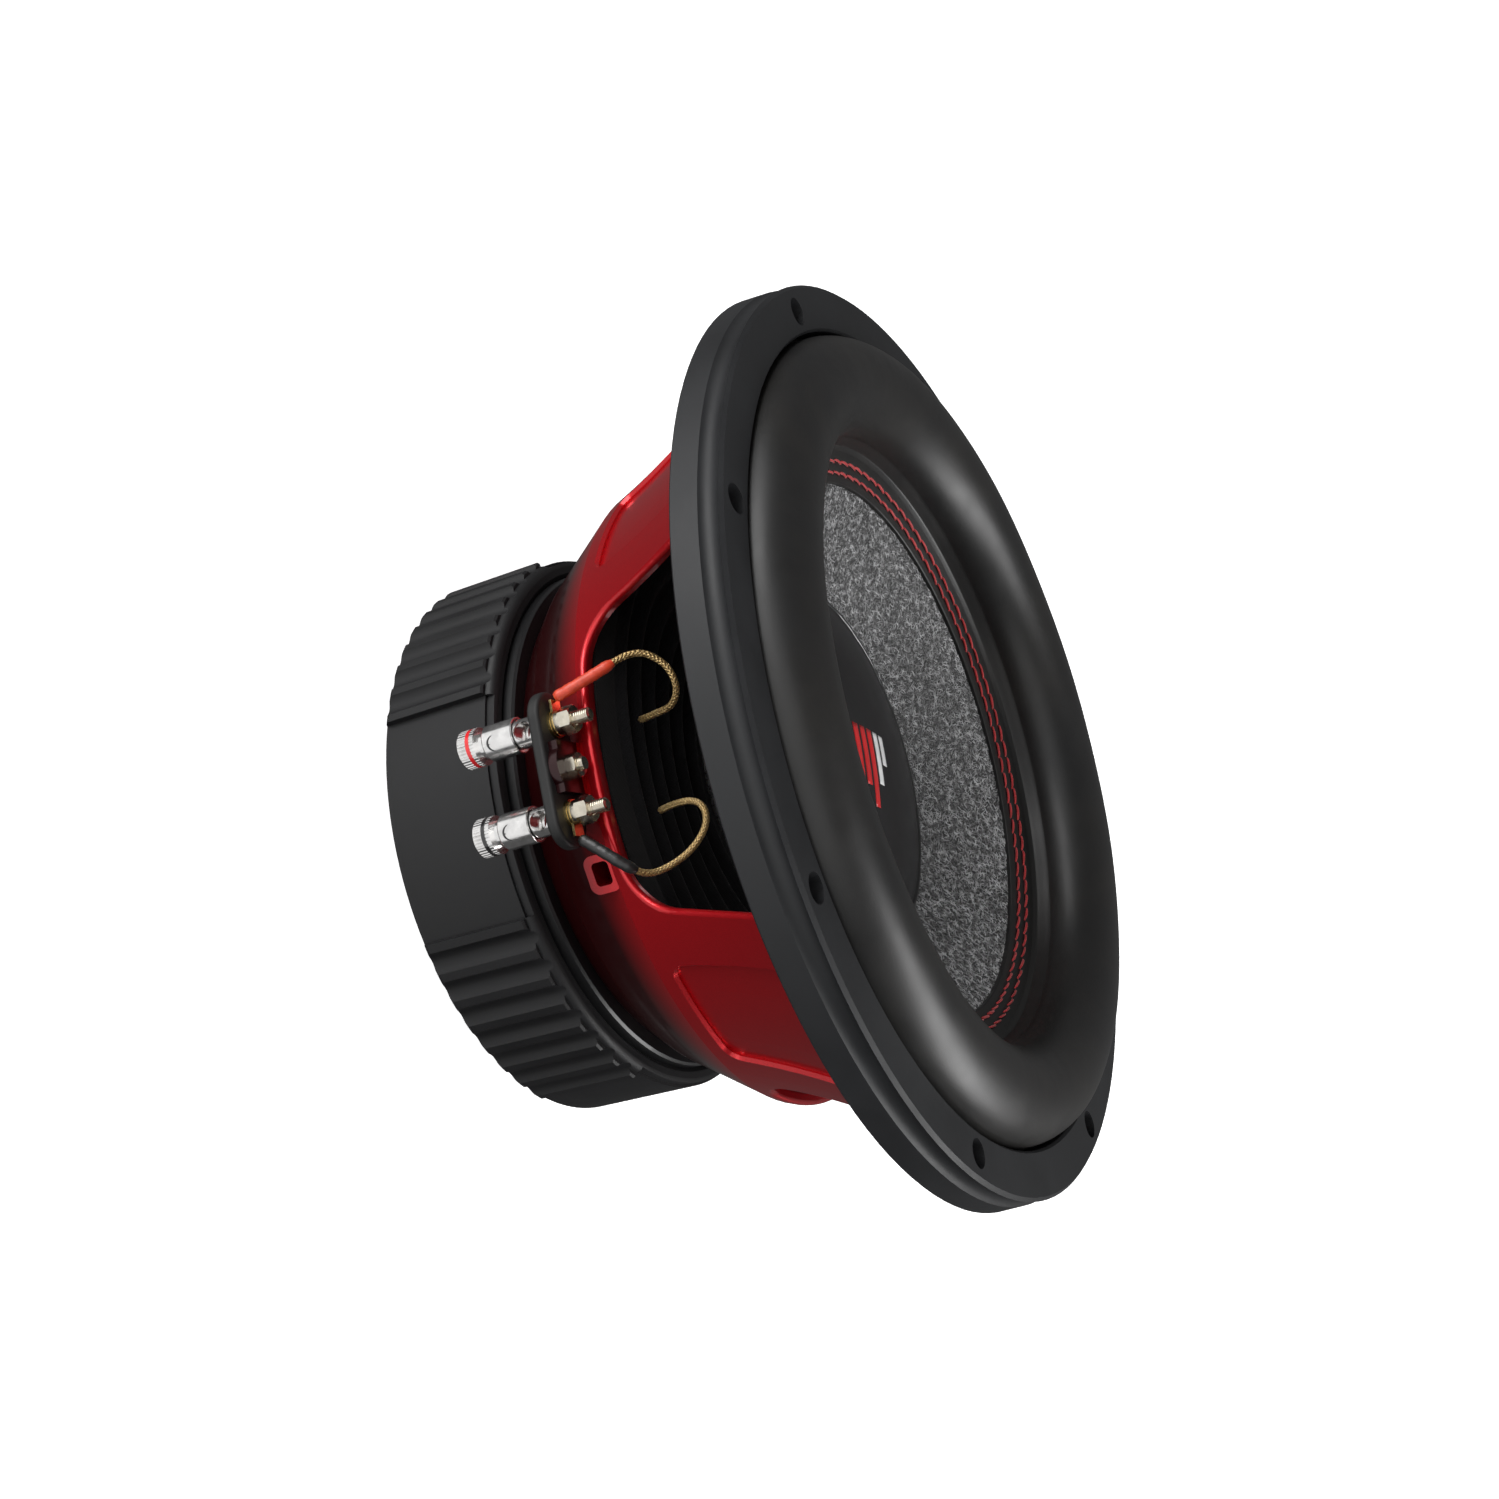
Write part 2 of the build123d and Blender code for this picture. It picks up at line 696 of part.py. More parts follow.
def hex_nut(x, z, across_flats, thickness, bore_r):
    """Hex nut on the terminal line, standing on height z, with chamfered corners."""
    corner_r = across_flats / sqrt(3)
    with BuildPart() as nut:
        with BuildSketch(Plane.XY.offset(z)):
            with Locations((x, post_y)):
                RegularPolygon(corner_r, 6)
        extrude(amount=thickness)
        with BuildSketch(Plane.XZ.offset(-post_y)):
            with BuildLine():
                Polyline(
                    (x, z),
                    (x + corner_r - 0.4, z),
                    (x + corner_r + 0.1, z + 0.4),
                    (x + corner_r + 0.1, z + thickness - 0.4),
                    (x + corner_r - 0.4, z + thickness),
                    (x, z + thickness),
                    close=True,
                )
            make_face()
        revolve(axis=Axis((x, post_y, 0), (0, 0, 1)), mode=Mode.INTERSECT)
        with BuildSketch(Plane.XY.offset(z)):
            with Locations((x, post_y)):
                Circle(bore_r)
        extrude(amount=thickness, mode=Mode.SUBTRACT)
    return nut.part


save(hex_nut(0, tab_front_z, 7.0, nut_t, screw_r), "board_nut")

washer_t = 1.0
lug_t = 0.8
lug_z = board_front_z + washer_t
nut_z = lug_z + lug_t
lug_tail = 7.2
lug_eye_r = 4.25
lug_half = 2.6
spring_wire_r = 0.3
spring_r = sleeve_bore_r - 1.0
shoulder_ring_z = -82.4
shoulder_ring_t = 1.0
stem_r = spring_r - 1.0
neck_r = sleeve_bore_r - 0.2
plunger_r = barrel_bore_r - 0.2
plunger_end_z = -72.9
notch_half = wire_hole_r - 0.3


def post(x):
    """Brass stud through the board, with its foot disc inside the sleeve."""
    with BuildPart() as item:
        with Locations((x, post_y, board_rear_z)):
            Cylinder(stud_r, stud_end_z - board_rear_z, align=(Align.CENTER, Align.CENTER, Align.MIN))
            Cylinder(barrel_bore_r, 0.8, align=(Align.CENTER, Align.CENTER, Align.MAX))
        chamfer(item.faces().sort_by(Axis.Z)[-1].edges(), 0.5)
    return item.part


def sleeve(x):
    """Rolled sleeve and thinner barrel with the wire hole, an inner shoulder and a lock seam."""
    with BuildPart() as item:
        with BuildSketch(Plane.XZ.offset(-post_y)):
            with BuildLine():
                Polyline(
                    (x + barrel_bore_r, board_rear_z),
                    (x + barrel_r, board_rear_z),
                    (x + barrel_r, barrel_step_z - groove_depth),
                    (x + groove_outer_r, barrel_step_z - groove_depth),
                    (x + groove_outer_r, barrel_step_z),
                    (x + sleeve_r - 0.15, barrel_step_z),
                    (x + sleeve_r, barrel_step_z - 0.15),
                    (x + sleeve_r, sleeve_end_z + 0.6),
                    (x + sleeve_r - 0.5, sleeve_end_z),
                    (x + sleeve_bore_r, sleeve_end_z),
                    (x + sleeve_bore_r, shoulder_ring_z - shoulder_ring_t / 2),
                    (x + stem_r + 0.2, shoulder_ring_z - shoulder_ring_t / 2),
                    (x + stem_r + 0.2, shoulder_ring_z + shoulder_ring_t / 2),
                    (x + barrel_bore_r, shoulder_ring_z + shoulder_ring_t / 2),
                    close=True,
                )
            make_face()
        revolve(axis=Axis((x, post_y, 0), (0, 0, 1)))
        with BuildSketch(Plane.XZ.offset(-post_y - 10)):
            with Locations((x, wire_hole_z)):
                Circle(wire_hole_r)
        extrude(amount=20, mode=Mode.SUBTRACT)
        seam_x = x + sleeve_r * sin(radians(seam_angle))
        seam_y = post_y - sleeve_r * cos(radians(seam_angle))
        with BuildSketch(Plane.XY.offset(barrel_step_z)):
            with Locations((seam_x, seam_y)):
                Rectangle(0.35, 0.5, rotation=seam_angle)
        extrude(amount=sleeve_end_z - barrel_step_z, mode=Mode.SUBTRACT)
    return item.part


def push_cap(x):
    """Moving button: knurled head, collar, neck, stem and the plunger with its wire notch."""
    with BuildPart() as item:
        with BuildSketch(Plane.XZ.offset(-post_y)):
            with BuildLine():
                Polyline(
                    (x, plunger_end_z),
                    (x + plunger_r, plunger_end_z),
                    (x + plunger_r, shoulder_ring_z + shoulder_ring_t / 2 + 0.9),
                    (x + stem_r, shoulder_ring_z + shoulder_ring_t / 2 + 0.9),
                    (x + stem_r, sleeve_end_z + 0.6),
                    (x + neck_r, sleeve_end_z + 0.6),
                    (x + neck_r, cap_collar_z),
                    (x + push_cap_r - 0.1, cap_collar_z),
                    (x + push_cap_r - 0.1, cap_ring_z),
                    (x + push_cap_r - 0.9, cap_ring_z),
                    (x + push_cap_r - 0.9, cap_head_z),
                    (x + push_cap_r, cap_head_z),
                    (x + push_cap_r, cap_end_z + 0.5),
                    (x + push_cap_r - 0.5, cap_end_z),
                    (x, cap_end_z),
                    close=True,
                )
            make_face()
        revolve(axis=Axis((x, post_y, 0), (0, 0, 1)))
        with BuildSketch(Plane.XZ.offset(-post_y - 10)):
            with Locations((x, wire_hole_z - push_travel / 2)):
                Circle(notch_half)
                with Locations((0, 2 * notch_half)):
                    Rectangle(2 * notch_half, 4 * notch_half)
        extrude(amount=20, mode=Mode.SUBTRACT)
        for start_z, end_z in ((cap_head_z, cap_end_z + 0.6), (cap_collar_z, cap_ring_z)):
            with BuildSketch(Plane.XY.offset(start_z)):
                with Locations((x, post_y)):
                    with PolarLocations(push_cap_r + 0.05, knurl_count):
                        Rectangle(0.5, 0.45, rotation=45)
            extrude(amount=end_z - start_z, mode=Mode.SUBTRACT)
    return item.part


def ring(x, z, outer_r, inner_r, thickness):
    """Plain ring around a terminal, standing on height z."""
    with BuildPart() as item:
        with BuildSketch(Plane.XY.offset(z)):
            with Locations((x, post_y)):
                Circle(outer_r)
                Circle(inner_r, mode=Mode.SUBTRACT)
        extrude(amount=thickness)
    return item.part


def lug(x, side):
    """Solder lug: a flat eye under the nut with a tail that points away from the board's middle."""
    with BuildPart() as item:
        with BuildSketch(Plane.XY.offset(lug_z)):
            with Locations((x, post_y)):
                Circle(lug_eye_r)
            with Locations((x + side * lug_tail / 2, post_y)):
                Rectangle(lug_tail, 2 * lug_half)
            with Locations((x, post_y)):
                Circle(stud_r, mode=Mode.SUBTRACT)
        extrude(amount=lug_t)
    return item.part


def spring(x):
    """Return spring between the sleeve's shoulder and the button's neck."""
    top_z = shoulder_ring_z - shoulder_ring_t / 2 - spring_wire_r - touch
    end_z = sleeve_end_z + 0.6 + spring_wire_r + touch
    height = top_z - end_z
    with BuildPart() as item:
        with BuildLine():
            Helix(height / 4, height, spring_r, center=(x, post_y, end_z))
        with BuildSketch(Plane(origin=(x + spring_r, post_y, end_z), z_dir=(0, 1, 0))):
            Circle(spring_wire_r)
        sweep(is_frenet=True)
    return item.part


def arc_radii(points):
    """Radius of the arc at each corner of a route: as large as its two runs allow."""
    radii = []
    for before, corner, after in zip(points, points[1:], points[2:]):
        run_in = Vector(*corner) - Vector(*before)
        run_out = Vector(*after) - Vector(*corner)
        half_turn = radians(run_in.get_angle(run_out)) / 2
        radii.append(0.45 * min(run_in.length, run_out.length) / tan(half_turn))
    return radii


def bent_tube(points, radii, outer_r, inner_r=0.0):
    """Tube along straight runs joined by tangent arcs."""
    start = Vector(*points[0])
    heading = (Vector(*points[1]) - start).normalized()
    with BuildPart() as item:
        with BuildLine() as path:
            FilletPolyline(*points, radius=radii)
        with BuildSketch(Plane(origin=start, z_dir=heading)):
            Circle(outer_r)
            if inner_r:
                Circle(inner_r, mode=Mode.SUBTRACT)
        sweep()
    length = sum(edge.length for edge in path.edges())
    section = pi * (outer_r**2 - inner_r**2)
    print("  radii", [round(r, 1) for r in radii], "length", round(length, 1), end=" ")
    print("volume ratio", round(item.part.volume / (section * length), 4))
    return item.part


# Each flexible lead runs from its lug, through its heat-shrink sleeve, in a loop to the spider.
lead_routes = {
    "positive": [(-22.0, -116.6, -63.4), (-25.6, -113.6, -51.4), (-32.6, -103.6, -40.8),
                 (-27.8, -97.8, -34.2), (-20.0, -95.4, -32.2), (-15.0, -91.2, -37.0),
                 (-15.0, -87.0, -46.0), (-15.4, -83.6, -53.2)],
    "negative": [(22.0, -116.6, -63.6), (27.2, -116.2, -57.6), (33.2, -114.2, -51.6),
                 (36.6, -107.6, -48.4), (34.8, -100.6, -44.0), (30.6, -95.8, -37.4),
                 (23.4, -92.0, -32.8), (16.0, -88.4, -35.2), (13.2, -85.4, -44.0),
                 (14.0, -82.2, -53.2)],
}
shrink_corners = {"positive": 1, "negative": 2}     # corners of the route inside the sleeve
terminal_side = {"positive": -1, "negative": 1}

for polarity, route in lead_routes.items():
    side = terminal_side[polarity]
    x = side * post_spacing / 2
    print(polarity)
    save(post(x), f"{polarity}_post")
    save(sleeve(x), f"{polarity}_sleeve")
    save(push_cap(x), f"{polarity}_push_cap")
    ring_height = cap_ring_z - cap_head_z
    save(ring(x, cap_head_z, push_cap_r - 0.05, push_cap_r - 0.9, ring_height), f"{polarity}_colour_ring")
    save(spring(x), f"{polarity}_spring")
    save(ring(x, board_front_z, 4.4, stud_r, washer_t), f"{polarity}_washer")
    save(lug(x, side), f"{polarity}_lug")
    stud_nut = hex_nut(x, nut_z + lock_washer_t, stud_nut_flats, stud_nut_t, stud_r)
    stud_nut += ring(x, nut_z, stud_nut_flats / 2, stud_r, lock_washer_t)
    save(stud_nut, f"{polarity}_nut")
    radii = arc_radii(route)
    corners = shrink_corners[polarity]
    sleeve_end = (Vector(*route[corners]) + Vector(*route[corners + 1])) / 2
    sleeve_route = route[: corners + 1] + [tuple(sleeve_end)]
    save(bent_tube(sleeve_route, radii[:corners], shrink_r, shrink_bore_r), f"{polarity}_heat_shrink")
    save(bent_tube(route, radii, lead_r), f"{polarity}_lead")
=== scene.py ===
"""Looks for a car subwoofer speaker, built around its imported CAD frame.  Sizes are in millimetres."""
import math
import random

import bpy
from mathutils import Matrix, Vector


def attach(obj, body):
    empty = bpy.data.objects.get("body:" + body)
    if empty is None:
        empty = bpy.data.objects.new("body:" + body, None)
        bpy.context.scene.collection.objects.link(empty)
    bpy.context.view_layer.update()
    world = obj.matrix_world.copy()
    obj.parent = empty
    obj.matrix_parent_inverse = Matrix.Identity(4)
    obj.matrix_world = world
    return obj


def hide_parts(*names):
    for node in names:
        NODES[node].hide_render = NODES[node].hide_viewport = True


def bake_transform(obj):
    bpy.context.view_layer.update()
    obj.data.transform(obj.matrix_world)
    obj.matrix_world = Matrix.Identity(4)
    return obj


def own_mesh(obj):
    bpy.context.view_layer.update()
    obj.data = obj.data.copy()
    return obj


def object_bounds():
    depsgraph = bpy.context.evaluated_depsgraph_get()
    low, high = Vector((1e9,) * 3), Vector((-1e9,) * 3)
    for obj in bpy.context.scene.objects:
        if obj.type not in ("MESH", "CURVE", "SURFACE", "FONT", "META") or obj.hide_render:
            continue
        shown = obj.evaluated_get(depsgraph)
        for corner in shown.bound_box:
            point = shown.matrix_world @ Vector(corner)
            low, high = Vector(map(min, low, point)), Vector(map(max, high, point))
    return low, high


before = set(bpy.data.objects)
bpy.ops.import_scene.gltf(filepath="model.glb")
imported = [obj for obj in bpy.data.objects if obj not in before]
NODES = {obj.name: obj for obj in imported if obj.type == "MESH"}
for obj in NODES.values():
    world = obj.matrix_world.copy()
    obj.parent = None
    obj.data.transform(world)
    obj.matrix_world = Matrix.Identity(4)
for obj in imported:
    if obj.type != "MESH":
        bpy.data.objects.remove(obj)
cad_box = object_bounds()
MM = 0.001
TAU = math.tau

# ------------------------------------------------------------------ camera
CAMERA_AT = Vector((0.122157, -0.669097, 0.246719))
CAMERA_FORWARD = Vector((-0.181541, 0.895898, -0.405474)).normalized()
CAMERA_UP = Vector((-0.963749, -0.080105, 0.254503))
SENSOR = 36.0
FIELD_OF_VIEW = math.radians(38.74)

camera_right = CAMERA_FORWARD.cross(CAMERA_UP).normalized()
camera_up = camera_right.cross(CAMERA_FORWARD)
camera_data = bpy.data.cameras.new("camera")
camera_data.sensor_width = SENSOR
camera_data.lens = SENSOR / 2 / math.tan(FIELD_OF_VIEW / 2)
camera_data.clip_start = 0.01
camera_data.clip_end = 60.0
camera = bpy.data.objects.new("camera", camera_data)
bpy.context.scene.collection.objects.link(camera)
camera.matrix_world = Matrix.Translation(CAMERA_AT) @ Matrix(
    (camera_right, camera_up, -CAMERA_FORWARD)
).transposed().to_4x4()
bpy.context.scene.camera = camera


# ------------------------------------------------------------------ materials
class Shader:
    """A node material: one Principled shader with textures in object coordinates (metres)."""

    def __init__(self, name, color, roughness, **settings):
        self.material = bpy.data.materials.new(name)
        self.material.use_nodes = True
        self.tree = self.material.node_tree
        self.tree.nodes.clear()
        output = self.tree.nodes.new("ShaderNodeOutputMaterial")
        self.bsdf = self.tree.nodes.new("ShaderNodeBsdfPrincipled")
        self.tree.links.new(self.bsdf.outputs[0], output.inputs[0])
        self.bsdf.inputs["Base Color"].default_value = (*color, 1)
        self.bsdf.inputs["Roughness"].default_value = roughness
        for key, value in settings.items():
            self.bsdf.inputs[key.replace("_", " ")].default_value = value
        self.coordinates = self.tree.nodes.new("ShaderNodeTexCoord").outputs["Object"]
        self.normal = None

    def node(self, kind, inputs=(), **attributes):
        made = self.tree.nodes.new(kind)
        for key, value in attributes.items():
            setattr(made, key, value)
        for key, value in dict(inputs).items():
            if isinstance(value, bpy.types.NodeSocket):
                self.tree.links.new(value, made.inputs[key])
            else:
                made.inputs[key].default_value = value
        return made

    def noise(self, scale, detail=4.0, roughness=0.6, distortion=0.0, vector=None):
        return self.node(
            "ShaderNodeTexNoise",
            {
                "Vector": vector or self.coordinates,
                "Scale": scale,
                "Detail": detail,
                "Roughness": roughness,
                "Distortion": distortion,
            },
        ).outputs["Fac"]

    def voronoi(self, scale):
        return self.node(
            "ShaderNodeTexVoronoi", {"Vector": self.coordinates, "Scale": scale}
        ).outputs["Distance"]

    def stretched(self, scale):
        return self.node("ShaderNodeMapping", {"Vector": self.coordinates, "Scale": scale}).outputs[0]

    def ramp(self, factor, stops):
        made = self.node("ShaderNodeValToRGB", {"Fac": factor})
        elements = made.color_ramp.elements
        while len(elements) < len(stops):
            elements.new(0.5)
        for element, (place, color) in zip(elements, stops):
            element.position = place
            if not isinstance(color, tuple):
                color = (color, color, color)
            element.color = (*color, 1)
        return made.outputs[0]

    def math(self, operation, a, b=0.0):
        return self.node("ShaderNodeMath", {0: a, 1: b}, operation=operation).outputs[0]

    def mix(self, factor, a, b):
        made = self.node("ShaderNodeMix", data_type="RGBA")
        for socket, value in ((made.inputs[0], factor), (made.inputs[6], a), (made.inputs[7], b)):
            if isinstance(value, bpy.types.NodeSocket):
                self.tree.links.new(value, socket)
            elif isinstance(value, tuple):
                socket.default_value = (*value, 1)
            else:
                socket.default_value = value
        return made.outputs[2]

    def set(self, key, socket):
        self.tree.links.new(socket, self.bsdf.inputs[key])

    def bump(self, height, distance, strength=1.0):
        """Adds a bump of that height in millimetres on top of earlier ones."""
        inputs = {"Height": height, "Distance": distance * MM, "Strength": strength}
        if self.normal is not None:
            inputs["Normal"] = self.normal
        self.normal = self.node("ShaderNodeBump", inputs).outputs[0]
        self.tree.links.new(self.normal, self.bsdf.inputs["Normal"])


def varied(name, dark, light, roughness, patch=40.0, **settings):
    """Shader whose colour and roughness drift a little between two tones."""
    shader = Shader(name, dark, sum(roughness) / 2, **settings)
    drift = shader.noise(patch, 3.0)
    shader.set("Base Color", shader.ramp(drift, [(0.35, dark), (0.65, light)]))
    shader.set("Roughness", shader.ramp(drift, [(0.35, roughness[0]), (0.65, roughness[1])]))
    return shader


# where painted shade darkens the basket, in millimetres: behind its shoulder and on its terminal tab
PAINTED_SHADE_REAR_Z, PAINTED_SHADE_FRONT_Z = -74.0, -61.0
TAB_FRONT_Z = -61.8
TAB_INNER_R = 111.2


def red_paint_with_painted_shade():
    """Metallic red with painted shade: darker behind the basket's shoulder and nearly black on its
    terminal tab.
    """
    shader = Shader(
        "candy_red_painted_shade", (0.6, 0.008, 0.014), 0.3, Metallic=0.65, Coat_Weight=0.5, Coat_Roughness=0.05
    )
    flakes = shader.voronoi(4200.0)
    tone = shader.ramp(flakes, [(0.1, (0.66, 0.010, 0.018)), (0.8, (0.50, 0.005, 0.011))])
    drift = shader.noise(18.0, 2.0)
    tone = shader.mix(shader.math("MULTIPLY", drift, 0.3), tone, (0.30, 0.002, 0.005))
    height = shader.node("ShaderNodeSeparateXYZ", {0: shader.coordinates}).outputs[2]
    # share of the red kept clear of the painted shade behind the shoulder
    front = shader.node(
        "ShaderNodeMapRange",
        {"Value": height, "From Min": PAINTED_SHADE_REAR_Z * MM, "From Max": PAINTED_SHADE_FRONT_Z * MM},
    ).outputs[0]
    # mask of the terminal tab, for its nearly black painted shadow
    flat = shader.node("ShaderNodeVectorMath", {0: shader.coordinates, 1: (1, 1, 0)}, operation="MULTIPLY")
    radius = shader.node("ShaderNodeVectorMath", {0: flat.outputs[0]}, operation="LENGTH").outputs["Value"]
    outside = shader.math("GREATER_THAN", radius, TAB_INNER_R * MM)
    behind = shader.math("LESS_THAN", height, TAB_FRONT_Z * MM)
    tab = shader.math("MULTIPLY", outside, behind)
    # painted shade: dark red behind the shoulder, fading out towards the front
    tone = shader.mix(front, (0.050, 0.001, 0.002), tone)
    # painted shadow: the terminal tab made nearly black
    shader.set("Base Color", shader.mix(tab, tone, (0.020, 0.001, 0.002)))
    shader.bump(shader.noise(140.0, 2.0), 0.06, 0.35)
    shader.bump(flakes, 0.01, 0.25)
    return shader.material


def moulded_rubber(name, tone, roughness, grain, depth, patch=30.0):
    """Matt moulded surface with a fine grain over a coarser one."""
    light = tuple(c * 1.35 for c in tone)
    shader = varied(name, tone, light, roughness, patch, Specular_IOR_Level=0.36)
    shader.bump(shader.noise(grain, 5.0, 0.7), depth, 0.6)
    shader.bump(shader.noise(grain / 9, 3.0), depth * 1.5, 0.3)
    return shader.material


def surround_rubber():
    shader = Shader("surround_rubber", (0.02, 0.02, 0.02), 0.5, Specular_IOR_Level=0.5)
    bloom = shader.noise(26.0, 6.0, 0.62, 0.6)
    tones = [(0.3, (0.006, 0.006, 0.0065)), (0.7, (0.012, 0.011, 0.010))]
    shader.set("Base Color", shader.ramp(bloom, tones))
    shader.set("Roughness", shader.ramp(shader.noise(60.0, 4.0), [(0.3, 0.36), (0.7, 0.46)]))
    shader.bump(shader.noise(1500.0, 4.0, 0.7), 0.05, 0.5)
    shader.bump(bloom, 0.3, 0.15)
    return shader.material


def metal(name, color, roughness, scratch=900.0, depth=0.004):
    low = tuple(c * 0.86 for c in color)
    shader = varied(name, low, color, (roughness * 0.75, roughness * 1.35), 260.0, Metallic=1.0)
    shader.bump(shader.noise(scratch, 3.0, 0.6, vector=shader.stretched((1, 1, 8))), depth, 0.5)
    return shader.material


def woven(name, tone, light, pitch, depth, roughness=0.75):
    """Square plain weave across the speaker's axis."""
    shader = Shader(name, tone, roughness, Sheen_Weight=0.05, Specular_IOR_Level=0.15)
    frequency = TAU / (pitch * MM)
    split = shader.node("ShaderNodeSeparateXYZ", {0: shader.coordinates})
    warp = shader.math("SINE", shader.math("MULTIPLY", split.outputs[0], frequency))
    weft = shader.math("SINE", shader.math("MULTIPLY", split.outputs[1], frequency))
    cross = shader.math("MULTIPLY", warp, weft)
    height = shader.node(
        "ShaderNodeMath", {0: cross, 1: 0.5, 2: 0.5}, operation="MULTIPLY_ADD"
    ).outputs[0]
    fuzz = shader.noise(2600.0, 3.0)
    shader.set("Base Color", shader.mix(shader.math("MULTIPLY", height, fuzz), tone, light))
    shader.bump(height, depth, 0.7)
    shader.bump(fuzz, depth / 2, 0.4)
    return shader.material


def cone_pulp():
    shader = Shader("cone_pulp", (0.03, 0.03, 0.03), 0.7, Specular_IOR_Level=0.35)
    fleck = shader.noise(1500.0, 3.0, 0.75, 0.8)
    clump = shader.noise(160.0, 4.0, 0.6)
    tone = shader.ramp(fleck, [(0.40, 0.014), (0.52, 0.07), (0.66, 0.36)])
    shader.set("Base Color", shader.mix(shader.math("MULTIPLY", clump, 0.45), tone, (0.02, 0.02, 0.021)))
    shader.bump(fleck, 0.25, 0.9)
    shader.bump(clump, 0.3, 0.3)
    return shader.material


def fibre():
    shader = Shader("pale_fibre", (0.5, 0.5, 0.5), 0.45, Specular_IOR_Level=0.6)
    tone = shader.noise(420.0, 2.0, 0.5)
    tones = [(0.35, (0.09, 0.09, 0.093)), (0.62, (0.62, 0.62, 0.63))]
    shader.set("Base Color", shader.ramp(tone, tones))
    shader.bump(shader.noise(5000.0, 2.0), 0.02, 0.4)
    return shader.material


def thread_red():
    shader = Shader("red_thread", (0.5, 0.01, 0.01), 0.5, Sheen_Weight=0.3)
    twist = shader.noise(1900.0, 3.0, 0.6, 1.0)
    tones = [(0.3, (0.22, 0.003, 0.005)), (0.65, (0.62, 0.014, 0.02))]
    shader.set("Base Color", shader.ramp(twist, tones))
    shader.bump(twist, 0.12, 0.8)
    return shader.material


def braid_gold():
    shader = Shader("braid_gold", (0.6, 0.42, 0.18), 0.35, Metallic=0.9)
    strand = shader.noise(3200.0, 3.0, 0.6)
    tones = [(0.3, (0.12, 0.075, 0.03)), (0.62, (0.66, 0.48, 0.22))]
    shader.set("Base Color", shader.ramp(strand, tones))
    shader.bump(strand, 0.06, 0.8)
    return shader.material


def glossy(name, color, roughness, coat=1.0, wave=200.0):
    shader = Shader(name, color, roughness, Coat_Weight=coat, Coat_Roughness=0.05)
    light = tuple(min(1, c * 1.25) for c in color)
    shader.set("Base Color", shader.ramp(shader.noise(wave, 3.0), [(0.35, color), (0.65, light)]))
    shader.bump(shader.noise(wave * 1.6, 2.0), 0.02, 0.4)
    return shader.material


RED = red_paint_with_painted_shade()
GASKET = moulded_rubber("gasket_rubber", (0.0105, 0.0110, 0.0122), (0.48, 0.58), 1700.0, 0.04)
BOOT = moulded_rubber("boot_rubber", (0.0060, 0.0060, 0.0066), (0.48, 0.60), 1500.0, 0.05)
SURROUND = surround_rubber()
PLATE = glossy("plate_black", (0.004, 0.004, 0.0045), 0.4, 0.15)
FERRITE = varied("ferrite", (0.05, 0.05, 0.055), (0.08, 0.08, 0.085), (0.5, 0.7), 90.0).material
STEEL = metal("turned_steel", (0.52, 0.52, 0.53), 0.3)
BLACK_STEEL = metal("black_steel", (0.05, 0.05, 0.055), 0.4)
FORMER = metal("former_foil", (0.70, 0.70, 0.71), 0.3)
COPPER = metal("winding_copper", (0.60, 0.26, 0.12), 0.3, 6000.0, 0.05)
PULP = cone_pulp()
FIBRE = fibre()
CAP = moulded_rubber("cap_black", (0.010, 0.010, 0.0105), (0.38, 0.48), 1800.0, 0.012, 20.0)
GLUE = glossy("glue_black", (0.006, 0.006, 0.006), 0.3, 0.6, 90.0)
PRINT_RED = glossy("print_red", (0.55, 0.012, 0.015), 0.35, 0.2, 120.0)
PRINT_WHITE = glossy("print_white", (0.72, 0.72, 0.72), 0.35, 0.2, 120.0)
THREAD = thread_red()
CLOTH = woven("spider_cloth", (0.002, 0.002, 0.0022), (0.010, 0.010, 0.011), 0.9, 0.12, 0.95)
BOARD = moulded_rubber("board_black", (0.012, 0.012, 0.012), (0.45, 0.6), 1100.0, 0.03)
CHROME = metal("chrome", (0.92, 0.91, 0.90), 0.2, 500.0, 0.002)
NICKEL = metal("nickel", (0.74, 0.69, 0.58), 0.2)
BRASS = metal("brass_plate", (0.72, 0.55, 0.24), 0.2)
RING_RED = glossy("ring_red", (0.60, 0.012, 0.016), 0.25)
RING_BLACK = glossy("ring_black", (0.008, 0.008, 0.008), 0.22)
SHRINK_RED = glossy("shrink_red", (0.50, 0.045, 0.016), 0.45, 0.1, 500.0)
SHRINK_BLACK = glossy("shrink_black", (0.010, 0.010, 0.010), 0.42, 0.15, 500.0)
SPRING = metal("spring_wire", (0.6, 0.6, 0.6), 0.2)
BRAID = braid_gold()


# ------------------------------------------------------------------ mesh helpers
def make_object(name, vertices, faces, material, sharp=38.0):
    """Mesh object from millimetre points, shaded smooth except where faces meet steeply."""
    mesh = bpy.data.meshes.new(name)
    mesh.from_pydata([(x * MM, y * MM, z * MM) for x, y, z in vertices], [], faces)
    mesh.validate()
    mesh.materials.append(material)
    mesh.shade_smooth()
    mesh.set_sharp_from_angle(angle=math.radians(sharp))
    made = bpy.data.objects.new(name, mesh)
    bpy.context.scene.collection.objects.link(made)
    return made


